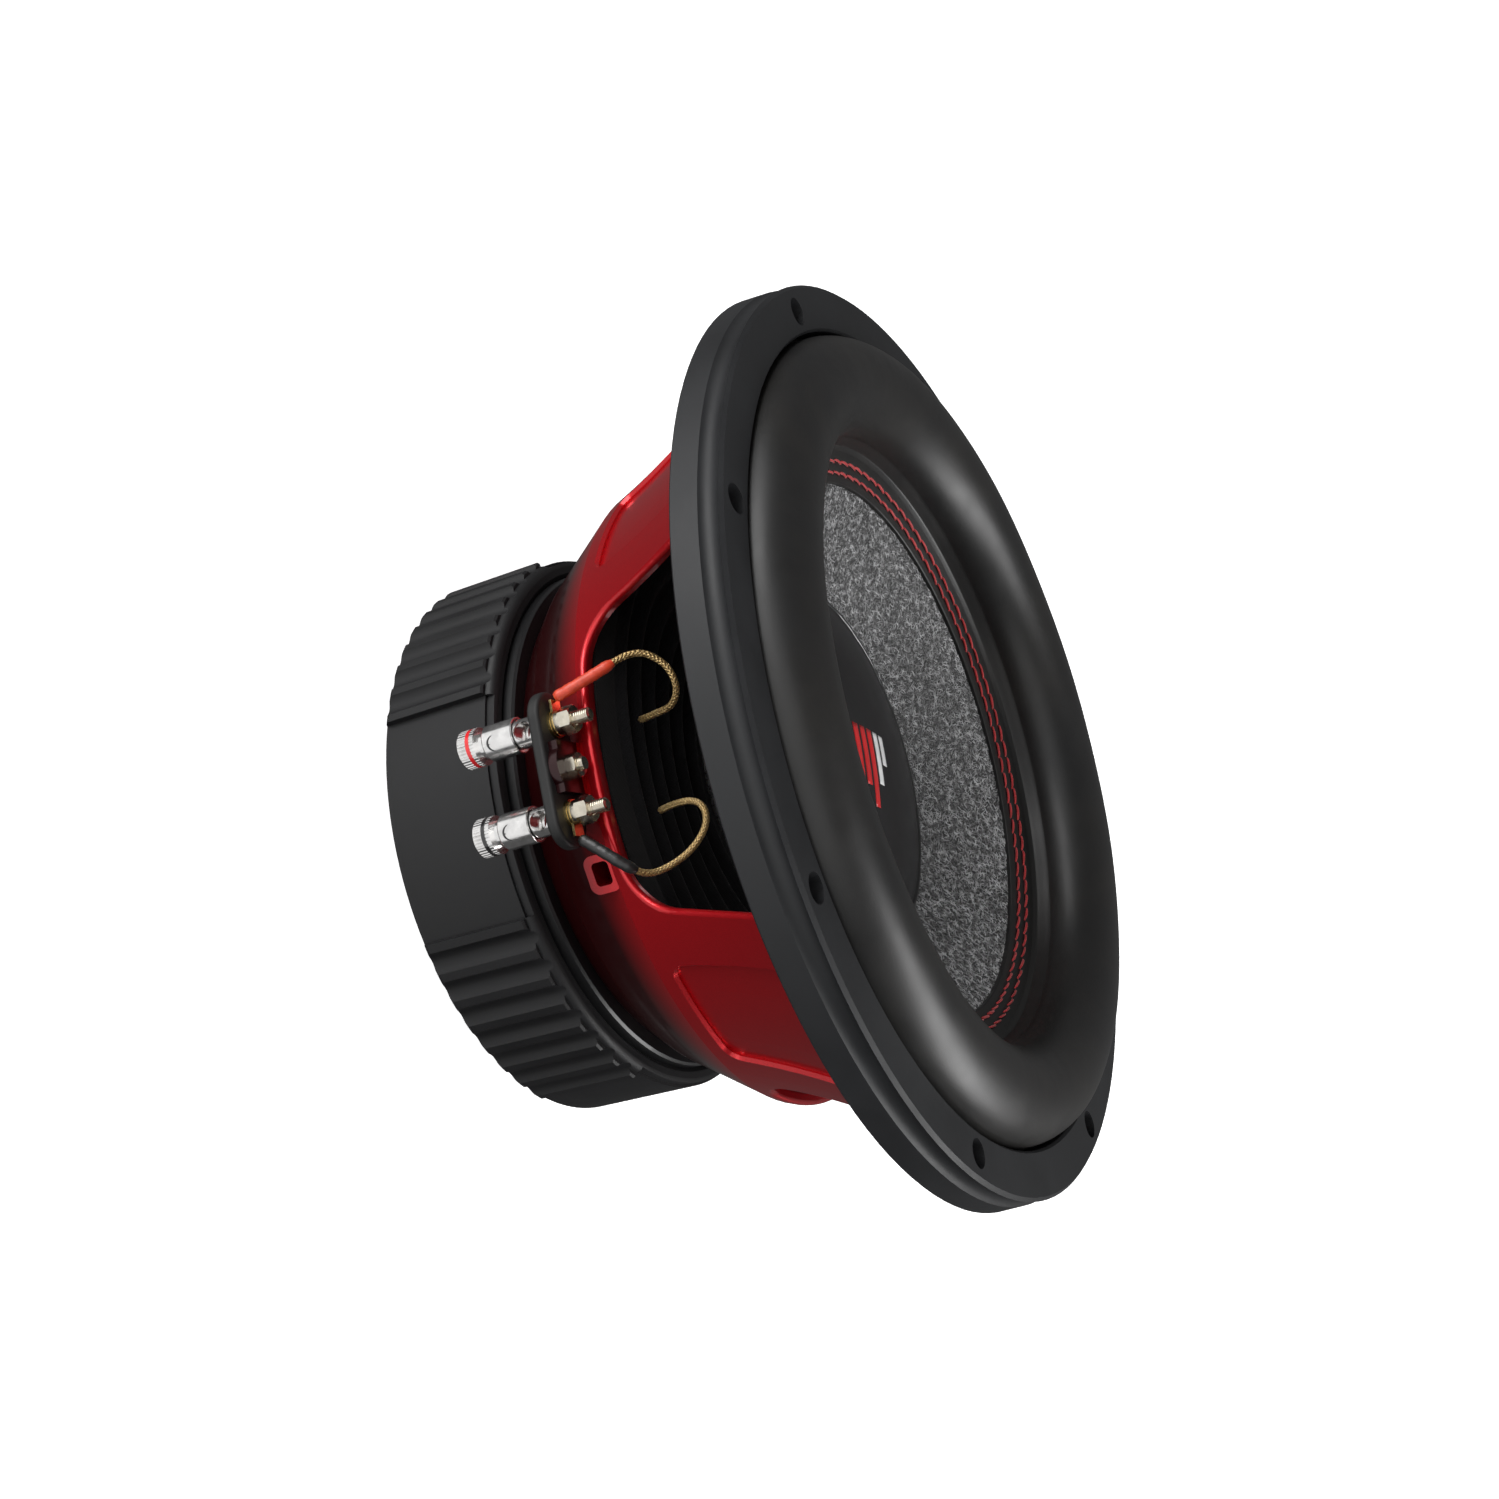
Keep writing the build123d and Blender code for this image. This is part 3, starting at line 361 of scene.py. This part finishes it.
def lathe(name, profile, material, segments=256, sharp=38.0, bend=None):
    """Closed ring: a closed outline of (radius, z) points turned around the speaker's axis."""
    count = len(profile)
    vertices = []
    for i in range(segments):
        angle = TAU * i / segments
        for r, z in profile:
            if bend:
                r, z = bend(r, z, angle)
            vertices.append((r * math.cos(angle), r * math.sin(angle), z))
    faces = []
    for i in range(segments):
        ahead = (i + 1) % segments
        for j in range(count):
            below = (j + 1) % count
            faces.append((i * count + j, ahead * count + j, ahead * count + below, i * count + below))
    return make_object(name, vertices, faces, material, sharp)


def arc(centre, radius, start, end, steps):
    """Points on an arc of (radius, z), angles in degrees from outward."""
    return [
        (
            centre[0] + radius * math.cos(math.radians(start + (end - start) * i / steps)),
            centre[1] + radius * math.sin(math.radians(start + (end - start) * i / steps)),
        )
        for i in range(steps + 1)
    ]


def between(a, b, steps):
    """Points from a up to but not at b."""
    return [tuple(p + (q - p) * i / steps for p, q in zip(a, b)) for i in range(steps)]


def frames_along(points):
    """Two directions across the line at each point, carried along it without twist."""
    across = []
    tangent = (points[1] - points[0]).normalized()
    side = tangent.orthogonal().normalized()
    for i in range(len(points)):
        ahead = points[min(i + 1, len(points) - 1)] - points[max(i - 1, 0)]
        tangent = ahead.normalized()
        side = (side - tangent * side.dot(tangent)).normalized()
        across.append((side.copy(), tangent.cross(side)))
    return across


def tube_mesh(points, radius, sides, offset=0):
    """Vertices and faces of a capped tube; radius is a number or a function of the share along."""
    across = frames_along(points)
    vertices, faces = [], []
    for i, (point, (u, v)) in enumerate(zip(points, across)):
        r = radius(i / (len(points) - 1)) if callable(radius) else radius
        for k in range(sides):
            angle = TAU * k / sides
            vertices.append(tuple(point + (u * math.cos(angle) + v * math.sin(angle)) * r))
    for i in range(len(points) - 1):
        for k in range(sides):
            ahead = (k + 1) % sides
            a, b = offset + i * sides, offset + (i + 1) * sides
            faces.append((a + k, a + ahead, b + ahead, b + k))
    last = offset + (len(points) - 1) * sides
    faces.append(tuple(offset + k for k in reversed(range(sides))))
    faces.append(tuple(last + k for k in range(sides)))
    return vertices, faces


def tubes(name, lines, material, sides, sharp=60.0):
    """One object of many tubes, each (points, radius)."""
    vertices, faces = [], []
    for points, radius in lines:
        more_vertices, more_faces = tube_mesh(points, radius, sides, len(vertices))
        vertices += more_vertices
        faces += more_faces
    return make_object(name, vertices, faces, material, sharp)


def smooth_step(t):
    t = min(1.0, max(0.0, t))
    return t * t * (3 - 2 * t)


def weigh(piece, weight):
    """Works out how far each point of a blended piece would follow its second body; the values are not
    stored.
    """
    values = [weight(v.co) for v in piece.data.vertices]


def dress(name, material):
    mesh = NODES[name].data
    mesh.materials.clear()
    mesh.materials.append(material)


# ------------------------------------------------------------------ places shared with the CAD
POST_X = 14.0
POST_Y = -116.66
LAND_INNER_R = 92.6
RISER_R = 104.4
ROLL_INNER_R = 105.2
ROLL_OUTER_R = 138.6
ROLL_FOOT_Z = 12.8
SHELF_R, SHELF_Z = 92.0, -1.2
EDGE_Z = 3.7
SHELF_RISE = (EDGE_Z - SHELF_Z) / (RISER_R - SHELF_R)
SURROUND_T = 1.5
CAP_R, CAP_SEAT_Z = 62.0, -22.9
CAP_TOP_Z = -12.4
NECK_R, NECK_Z = 38.7, -40.4


def land_z(r):
    return SHELF_Z + (r - SHELF_R) * SHELF_RISE + SURROUND_T


# ------------------------------------------------------------------ leads
LEAD_ROUTES = {
    "positive": [(-22.0, -116.6, -63.4), (-25.6, -113.6, -51.4), (-32.6, -103.6, -40.8),
                 (-27.8, -97.8, -34.2), (-20.0, -95.4, -32.2), (-15.0, -91.2, -37.0),
                 (-15.0, -87.0, -46.0), (-15.4, -83.6, -53.2)],
    "negative": [(22.0, -116.6, -63.6), (27.2, -116.2, -57.6), (33.2, -114.2, -51.6),
                 (36.6, -107.6, -48.4), (34.8, -100.6, -44.0), (30.6, -95.8, -37.4),
                 (23.4, -92.0, -32.8), (16.0, -88.4, -35.2), (13.2, -85.4, -44.0),
                 (14.0, -82.2, -53.2)],
}
SHRINK_LENGTH = {"positive": 20.7, "negative": 20.4}
LEAD_R = 1.1
SHRINK_R = 1.9
LEAD_END_WEIGHT = 0.129         # share of the cone's travel that the spider has where a lead ends


def spline_points(route):
    """Points of the smooth line that a route's points pull, in millimetres."""
    curve = bpy.data.curves.new("route", "CURVE")
    curve.dimensions = "3D"
    curve.resolution_u = 40
    spline = curve.splines.new("NURBS")
    spline.points.add(len(route) - 1)
    for point, place in zip(spline.points, route):
        point.co = (place[0] * MM, place[1] * MM, place[2] * MM, 1)
    spline.order_u = 3
    spline.use_endpoint_u = True
    carrier = bpy.data.objects.new("route", curve)
    bpy.context.scene.collection.objects.link(carrier)
    mesh = bpy.data.meshes.new_from_object(carrier)
    line = [v.co.copy() / MM for v in mesh.vertices]
    bpy.data.objects.remove(carrier)
    bpy.data.curves.remove(curve)
    bpy.data.meshes.remove(mesh)
    return line


def travelled(line):
    """Distance along a line at each of its points."""
    total = [0.0]
    for a, b in zip(line, line[1:]):
        total.append(total[-1] + (b - a).length)
    return total


def spaced(line, step):
    """The same line with evenly spaced points."""
    reach = travelled(line)
    count = max(2, round(reach[-1] / step))
    made, j = [], 0
    for i in range(count + 1):
        goal = reach[-1] * i / count
        while j < len(line) - 2 and reach[j + 1] < goal:
            j += 1
        span = max(1e-9, reach[j + 1] - reach[j])
        made.append(line[j].lerp(line[j + 1], min(1.0, (goal - reach[j]) / span)))
    return made


def braid(line, strands, ring_r, strand_r, turn):
    """Strands that wind both ways around a line, over and under each other."""
    points = spaced(line, 0.28)
    reach = travelled(points)
    across = frames_along(points)
    lines = []
    for k in range(strands):
        way = 1 if k % 2 else -1
        first = TAU * (k // 2) / (strands // 2)
        strand = []
        for point, s, (u, v) in zip(points, reach, across):
            angle = way * TAU * s / turn + first
            weave = 0.11 * way * math.cos(strands / 2 * TAU * s / turn)
            r = ring_r + weave
            strand.append(point + (u * math.cos(angle) + v * math.sin(angle)) * r)
        lines.append((strand, strand_r))
    return lines


for polarity, route in LEAD_ROUTES.items():
    line = spline_points(route)
    lines = [(spaced(line, 0.6), LEAD_R * 0.66)]
    lines += braid(line, 10, LEAD_R * 0.74, 0.27, 7.0)
    lead = tubes(f"{polarity}_braided_lead", lines, BRAID, 6)
    lead_reach = travelled(line)

    def lead_weight(co, line=line, reach=lead_reach, free=SHRINK_LENGTH[polarity]):
        place = co / MM
        nearest = min(range(len(line)), key=lambda i: (line[i] - place).length_squared)
        return LEAD_END_WEIGHT * smooth_step((reach[nearest] - free) / (reach[-1] - free))

    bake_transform(lead)
    weigh(lead, lead_weight)
    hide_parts(f"{polarity}_lead")

    # heat-shrink sleeve on the lead's first stretch: open ends, drawn in over the braid
    steps = spaced(line, 0.5)
    covered = [p for p, s in zip(steps, travelled(steps)) if s <= SHRINK_LENGTH[polarity]]

    def shrink_profile(t):
        lip = smooth_step(t / 0.05) * smooth_step((1 - t) / 0.09)
        ripple = 0.05 * math.sin(31 * t) + 0.03 * math.sin(67 * t + 1)
        return LEAD_R + 0.22 + (SHRINK_R - LEAD_R - 0.3) * lip + ripple * lip

    shrink = tubes(
        f"{polarity}_shrink_tube",
        [(covered, shrink_profile)],
        SHRINK_RED if polarity == "positive" else SHRINK_BLACK,
        24,
    )
    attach(shrink, "frame")
    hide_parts(f"{polarity}_heat_shrink")

# ------------------------------------------------------------------ surround
roll_mid = (ROLL_INNER_R + ROLL_OUTER_R) / 2
ROLL_R = 16.85
ROLL_HEIGHT = 17.0
SURROUND_RIM_R = 143.2
SURROUND_RIM_Z = 6.1            # the flange's face, on which the surround's rim is glued
roll_z = ROLL_FOOT_Z + ROLL_HEIGHT - ROLL_R
profile = arc((roll_mid, roll_z), ROLL_R, -8, 188, 72)
profile += between((ROLL_INNER_R, ROLL_FOOT_Z - 2.5), (RISER_R + 0.05, land_z(RISER_R) + 1.6), 4)
profile += arc((RISER_R - 0.9, land_z(RISER_R) + 1.1), 0.9, -10, -62, 4)
stitch_rows = {"outer": 99.4, "inner": 95.8}
for i in range(1, 60):
    r = RISER_R - 1.3 + (LAND_INNER_R + 0.5 - RISER_R + 1.3) * i / 60
    dip = sum(0.22 * math.exp(-(((r - row) / 0.75) ** 2)) for row in stitch_rows.values())
    profile.append((r, land_z(r) - dip))
profile += arc((LAND_INNER_R + 0.5, land_z(LAND_INNER_R + 0.5) - 0.55), 0.55, 95, 200, 6)
profile += [(LAND_INNER_R, land_z(LAND_INNER_R) - SURROUND_T), (RISER_R - 0.05, EDGE_Z)]
profile += [(RISER_R + SURROUND_T, EDGE_Z), (ROLL_INNER_R + SURROUND_T, ROLL_FOOT_Z - 1.0)]
profile += list(reversed(arc((roll_mid, roll_z), ROLL_R - SURROUND_T, 0, 180, 40)))[1:-1]
profile += [(ROLL_OUTER_R - SURROUND_T, ROLL_FOOT_Z - 2.0), (ROLL_OUTER_R - SURROUND_T, SURROUND_RIM_Z)]
profile += [(SURROUND_RIM_R, SURROUND_RIM_Z), (SURROUND_RIM_R, SURROUND_RIM_Z + 1.35)]
profile += [(ROLL_OUTER_R + 0.5, SURROUND_RIM_Z + 1.4), (ROLL_OUTER_R, SURROUND_RIM_Z + 2.3)]


def uneven(r, z, angle):
    """The moulding's slight waviness on the roll."""
    share = smooth_step((r - ROLL_INNER_R) / 6) * smooth_step((ROLL_OUTER_R - r) / 6)
    return r, z + share * (0.10 * math.sin(5 * angle + 0.8) + 0.07 * math.sin(11 * angle))


surround = lathe("surround_roll", profile, SURROUND, 320, 40.0, uneven)
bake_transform(surround)
weigh(
    surround,
    lambda co: smooth_step(
        (ROLL_OUTER_R - math.hypot(co.x, co.y) / MM) / (ROLL_OUTER_R - ROLL_INNER_R)
    ),
)
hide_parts("surround")

# ------------------------------------------------------------------ stitching
STITCHES = 100
STITCH_R = 0.46
random.seed(7)
for row, row_r in stitch_rows.items():
    lines = []
    pitch = TAU / STITCHES
    for i in range(STITCHES):
        middle = i * pitch + random.uniform(-0.04, 0.04) * pitch
        half = pitch * random.uniform(0.47, 0.52)
        lean = random.uniform(0.32, 0.5)
        fat = STITCH_R * random.uniform(0.9, 1.1)
        line = []
        for j in range(-5, 6):
            t = j / 5
            angle = middle + t * half
            r = row_r + lean * t
            lift = 0.42 * (1 - abs(t) ** 3.2) - 0.12
            line.append(Vector((r * math.cos(angle), r * math.sin(angle), land_z(r) + lift)))
        lines.append((line, lambda t, fat=fat: fat * (0.55 + 0.45 * math.sin(math.pi * t) ** 0.4)))
    stitches = tubes(f"stitches_{row}", lines, THREAD, 8)
    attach(stitches, "cone_assembly")
    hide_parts(f"stitching_{row}")

# ------------------------------------------------------------------ cone and its pale fibres
CONE_T = 1.6


def cone_z(r):
    """Front of the cone: straight to the shelf, with a soft turn into it."""
    inner = NECK_Z + (r - NECK_R) * (CAP_SEAT_Z - NECK_Z) / (CAP_R - NECK_R)
    middle = CAP_SEAT_Z + (r - CAP_R) * (SHELF_Z - CAP_SEAT_Z) / (SHELF_R - CAP_R)
    outer = SHELF_Z + (r - SHELF_R) * SHELF_RISE
    return inner if r < CAP_R else middle if r < SHELF_R else outer


front = [NECK_R + (RISER_R - 0.1 - NECK_R) * i / 60 for i in range(61)]
profile = [(r, cone_z(r)) for r in reversed(front)]
profile += [(r, cone_z(r) - CONE_T - 0.2) for r in front]
cone = lathe("cone_shell", profile, PULP, 256)
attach(cone, "cone_assembly")
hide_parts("cone")

random.seed(11)
FIBRES = 24000
vertices, faces = [], []
slope = math.atan2(SHELF_Z - CAP_SEAT_Z, SHELF_R - CAP_R)
for _ in range(FIBRES):
    r = math.sqrt(random.uniform((CAP_R - 0.6) ** 2, (SHELF_R + 0.9) ** 2))
    angle = random.uniform(0, TAU)
    heading = random.uniform(0, TAU)
    length = random.uniform(0.9, 2.6)
    width = random.uniform(0.05, 0.11)
    curl = random.uniform(-0.9, 0.9)
    lift = random.uniform(0.02, 0.16)
    base = len(vertices)
    steps = 4
    place = [r, angle]
    rail = []
    for j in range(steps + 1):
        rail.append((place[0], place[1], heading))
        place[0] += math.cos(heading) * length / steps * math.cos(slope)
        place[1] += math.sin(heading) * length / steps / place[0]
        heading += curl / steps
    if not CAP_R - 0.8 < rail[-1][0] < SHELF_R + 1.2:
        continue
    for j, (pr, pa, ph) in enumerate(rail):
        t = j / steps
        rise = lift + 0.05 * math.sin(math.pi * t) - 0.06 * abs(2 * t - 1) ** 4
        w = width * (1 - 0.5 * abs(2 * t - 1) ** 3)
        for way in (-1, 0, 1):
            sr = pr + way * w * -math.sin(ph) * math.cos(slope)
            sa = pa + way * w * math.cos(ph) / pr
            top = rise + (0.09 if way == 0 else -0.06)
            vertices.append((sr * math.cos(sa), sr * math.sin(sa), cone_z(sr) + top))
    for j in range(steps):
        for k in range(2):
            a = base + 3 * j + k
            faces.append((a, a + 3, a + 4, a + 1))
fibres = make_object("cone_fibres", vertices, faces, FIBRE, 80.0)
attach(fibres, "cone_assembly")

# ------------------------------------------------------------------ dust cap
CAP_LIP = 3.2
lip_r = CAP_R - CAP_LIP
lip_z = CAP_SEAT_Z + 1.3
drop = CAP_TOP_Z - lip_z
dome_r = (lip_r**2 + drop**2) / (2 * drop)


def dome_z(r):
    return CAP_TOP_Z - dome_r + math.sqrt(dome_r**2 - r**2)


CAP_T = 1.2
AXIS_R = 0.02
radii = [AXIS_R + (lip_r - AXIS_R) * i / 40 for i in range(41)]
profile = [(r, dome_z(r)) for r in radii]
back = [(r, z - CAP_T) for r, z in reversed(profile[:-1])]
profile += arc((lip_r + 0.4, lip_z - 0.75), 0.75, 84, 20, 5)
profile += [(lip_r + 1.6, lip_z - 0.95), (CAP_R - 0.3, CAP_SEAT_Z + 0.6), (CAP_R, CAP_SEAT_Z + 0.25)]
profile += [(CAP_R, CAP_SEAT_Z), (lip_r, cone_z(lip_r))] + back
cap = lathe("dust_cap_dome", profile, CAP, 192, 50.0)
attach(cap, "cone_assembly")
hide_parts("dust_cap")

# bead of glue around the cap's edge
bead = arc((CAP_R + 0.15, CAP_SEAT_Z + 0.25), 0.75, 0, 360, 14)[:-1]


def bead_wave(r, z, angle):
    swell = 0.12 * math.sin(17 * angle) + 0.09 * math.sin(41 * angle + 2)
    return r + swell, z


glue = lathe("cap_glue_bead", bead, GLUE, 256, 60.0, bead_wave)
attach(glue, "cone_assembly")

# generic printed mark: a few level bars of different heights, laid on the dome
BARS = [(-13.5, 5.5, "white"), (-8.1, 9.5, "white"), (-2.7, 14.0, "red"), (2.7, 10.5, "red"),
        (8.1, 16.0, "red"), (13.5, 7.5, "red")]
BAR_HALF = 1.9
BAR_FOOT = -9.0
MARK_SHIFT = 1.0
PRINT_LIFT, PRINT_T = 0.06, 0.08
MARK_ANGLE = math.radians(-98.0)
mark_x = Vector((math.cos(MARK_ANGLE), math.sin(MARK_ANGLE), 0))
mark_y = Vector((-math.sin(MARK_ANGLE), math.cos(MARK_ANGLE), 0))
for tone, material in (("red", PRINT_RED), ("white", PRINT_WHITE)):
    vertices, faces = [], []
    for offset, height, bar_tone in BARS:
        if bar_tone != tone:
            continue
        steps_u, steps_v = 3, 16
        base = len(vertices)
        for i in range(steps_u + 1):
            for j in range(steps_v + 1):
                u = offset + BAR_HALF * (2 * i / steps_u - 1)
                v = BAR_FOOT + 2 * height * j / steps_v
                p = mark_x * u + mark_y * (v - MARK_SHIFT)
                vertices.append((p.x, p.y, dome_z(math.hypot(p.x, p.y)) + PRINT_LIFT))
        for i in range(steps_u):
            for j in range(steps_v):
                a = base + i * (steps_v + 1) + j
                faces.append((a, a + steps_v + 1, a + steps_v + 2, a + 1))
    mark = make_object(f"cap_mark_{tone}", vertices, faces, material)
    solid = mark.modifiers.new("thickness", "SOLIDIFY")
    solid.thickness = PRINT_T * MM
    solid.offset = -1
    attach(mark, "cone_assembly")

# ------------------------------------------------------------------ spider
SPIDER_WAVES = 6
SPIDER_OUTER_R = 106.0
SPIDER_LAND_R = 95.5
COLLAR_R = 42.7
SEAT_Z = -56.95
CLOTH_T = 0.7
WAVE_LIFT, WAVE_HEIGHT = 0.72, 1.68
face = []
for i in range(201):
    r = SPIDER_OUTER_R - (SPIDER_OUTER_R - NECK_R) * i / 200
    t = (SPIDER_LAND_R - r) / (SPIDER_LAND_R - COLLAR_R)
    wave = 0.0
    if 0 < t < 1:
        ease = smooth_step(t / 0.08) * smooth_step((1 - t) / 0.08)
        wave = ease * (WAVE_LIFT - WAVE_HEIGHT * math.cos(TAU * (SPIDER_WAVES * t)))
    face.append((r, SEAT_Z + CLOTH_T + wave))
profile = face + [(r, z - CLOTH_T) for r, z in reversed(face)]
spider = lathe("spider_weave", profile, CLOTH, 256, 60.0)
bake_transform(spider)
weigh(
    spider,
    lambda co: smooth_step((SPIDER_LAND_R - math.hypot(co.x, co.y) / MM) / (SPIDER_LAND_R - COLLAR_R)),
)
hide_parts("spider")

# ------------------------------------------------------------------ threads on studs and screws
THREAD_R, THREAD_PITCH = 2.0, 0.7
TURN_STEPS = 28
for name, x, start_z, end_z in (
    ("positive_stud_thread", -POST_X, -57.6, -52.6),
    ("negative_stud_thread", POST_X, -57.6, -52.6),
    ("board_screw_thread", 0.0, -59.0, -57.6),
):
    steps = int((end_z - start_z) / THREAD_PITCH * TURN_STEPS)
    line = [
        Vector(
            (
                x + THREAD_R * math.cos(TAU * i / TURN_STEPS),
                POST_Y + THREAD_R * math.sin(TAU * i / TURN_STEPS),
                start_z + THREAD_PITCH * i / TURN_STEPS,
            )
        )
        for i in range(steps)
    ]
    thread = tubes(name, [(line, THREAD_PITCH * 0.30)], NICKEL, 6, 80.0)
    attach(thread, "frame")

# return spring inside each terminal, closed up when its cap is pushed in
SPRING_R, SPRING_WIRE_R, SPRING_TURNS = 3.7, 0.28, 4
SPRING_FRONT_Z, SPRING_REAR_Z = -83.25, -87.65
spring_height = SPRING_FRONT_Z - SPRING_REAR_Z
for polarity, x in (("positive", -POST_X), ("negative", POST_X)):
    line = []
    steps = 32 * SPRING_TURNS
    for i in range(steps + 1):
        turn = TAU * SPRING_TURNS * i / steps
        line.append(
            Vector(
                (
                    x + SPRING_R * math.cos(turn),
                    POST_Y + SPRING_R * math.sin(turn),
                    SPRING_REAR_Z + spring_height * i / steps,
                )
            )
        )
    coil = tubes(f"{polarity}_return_spring", [(line, SPRING_WIRE_R)], SPRING, 10)
    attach(coil, "frame")
    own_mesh(coil)
    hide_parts(f"{polarity}_spring")

# half-moon stamped in each terminal sleeve, beside its seam: a dark tube that paints the shade of the
# stamp's groove
SLEEVE_R = 5.75
STAMP_R, STAMP_Z = 2.7, -83.6
STAMP_SUNK = 0.26
STAMP_STEPS = 24
STAMP_ANGLE = math.radians(-90.0 + 14.0)
# dark colour of the tube: painted shade of the stamped groove
STAMP_PAINTED_SHADE = glossy("stamp_shadow", (0.03, 0.03, 0.03), 0.5, 0.0)


def stamp_radius(t):
    return 0.2 + 0.28 * math.sin(math.pi * t)


for polarity, x in (("positive", -POST_X), ("negative", POST_X)):
    line = []
    out = SLEEVE_R - STAMP_SUNK
    for i in range(STAMP_STEPS + 1):
        turn = math.radians(90 + 180 * i / STAMP_STEPS)
        around = STAMP_ANGLE + STAMP_R * math.sin(turn) / SLEEVE_R
        place = (
            x + out * math.cos(around),
            POST_Y + out * math.sin(around),
            STAMP_Z + STAMP_R * math.cos(turn),
        )
        line.append(Vector(place))
    stamp = tubes(f"{polarity}_sleeve_stamp_shade", [(line, stamp_radius)], STAMP_PAINTED_SHADE, 8)
    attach(stamp, "frame")

# ------------------------------------------------------------------ materials of the CAD nodes
CAD_MATERIALS = {
    "basket": RED,
    "gasket": GASKET,
    "top_plate": PLATE,
    "magnet": FERRITE,
    "yoke": STEEL,
    "magnet_boot": BOOT,
    "motor_screws": BLACK_STEEL,
    "coil_former": FORMER,
    "voice_coil": COPPER,
    "terminal_board": BOARD,
    "board_screw": NICKEL,
    "board_nut": NICKEL,
}
for polarity in ("positive", "negative"):
    CAD_MATERIALS.update(
        {
            f"{polarity}_post": NICKEL,
            f"{polarity}_sleeve": CHROME,
            f"{polarity}_push_cap": CHROME,
            f"{polarity}_colour_ring": RING_RED if polarity == "positive" else RING_BLACK,
            f"{polarity}_washer": BRASS,
            f"{polarity}_lug": BRASS,
            f"{polarity}_nut": NICKEL,
        }
    )
for name, material in CAD_MATERIALS.items():
    dress(name, material)

# ------------------------------------------------------------------ floor, light
FLOOR_HALF = 14.0
WALL_HEIGHT = 9.0
FLOOR_Z = cad_box[0].z
floor_mesh = bpy.data.meshes.new("floor")
CORNERS = ((-1, -1), (1, -1), (1, 1), (-1, 1))
floor_mesh.from_pydata(
    [(x * FLOOR_HALF, y * FLOOR_HALF, z) for z in (FLOOR_Z, FLOOR_Z + WALL_HEIGHT) for x, y in CORNERS],
    [],
    [(0, 1, 2, 3)] + [(i, (i + 1) % 4, (i + 1) % 4 + 4, i + 4) for i in range(4)],
)
pale = Shader("pale_floor", (0.86, 0.86, 0.86), 0.8, Emission_Color=(1, 1, 1, 1), Emission_Strength=0.9)
pale.set("Base Color", pale.ramp(pale.noise(2.0, 2.0), [(0.3, 0.85), (0.7, 0.87)]))
floor_mesh.materials.append(pale.material)
floor = bpy.data.objects.new("floor", floor_mesh)
bpy.context.scene.collection.objects.link(floor)
floor.visible_glossy = False
floor.visible_diffuse = False
floor.visible_shadow = False

# dim studio, brighter overhead
world = bpy.data.worlds.new("studio")
bpy.context.scene.world = world
world.use_nodes = True
sky = world.node_tree.nodes
links = world.node_tree.links
direction = sky.new("ShaderNodeTexCoord").outputs["Generated"]
height = sky.new("ShaderNodeSeparateXYZ")
links.new(direction, height.inputs[0])
shade = sky.new("ShaderNodeMapRange")
links.new(height.outputs[2], shade.inputs["Value"])
shade.inputs["From Min"].default_value = -1.0
shade.inputs["To Min"].default_value = 0.04
shade.inputs["To Max"].default_value = 0.22
links.new(shade.outputs[0], sky["Background"].inputs[1])
sky["Background"].inputs[0].default_value = (1, 1, 1, 1)

TARGET = Vector((0, 0, -0.05))


def soft_box(name, offset, size, power):
    """Rectangular area light that faces the speaker from that offset, in metres."""
    data = bpy.data.lights.new(name, "AREA")
    data.shape = "RECTANGLE"
    data.size, data.size_y = size
    data.energy = power
    made = bpy.data.objects.new(name, data)
    bpy.context.scene.collection.objects.link(made)
    made.location = TARGET + offset
    made.rotation_mode = "QUATERNION"
    made.rotation_quaternion = (TARGET - made.location).to_track_quat("-Z", "Y")


def seen_from_camera(right, up, toward):
    """Offset given in the camera's own right, up and toward-the-camera directions."""
    return camera_right * right + camera_up * up - CAMERA_FORWARD * toward


soft_box("key", seen_from_camera(-0.8, 1.5, 0.9), (1.7, 1.2), 34)
soft_box("front", seen_from_camera(-0.3, 0.1, 1.7), (2.4, 1.9), 15)
soft_box("side", seen_from_camera(1.5, -0.9, 0.25), (0.7, 1.6), 30)
soft_box("low", Vector((-0.10, -1.30, -0.66)), (3.6, 1.7), 15)

bpy.context.scene.view_settings.view_transform = "Standard"
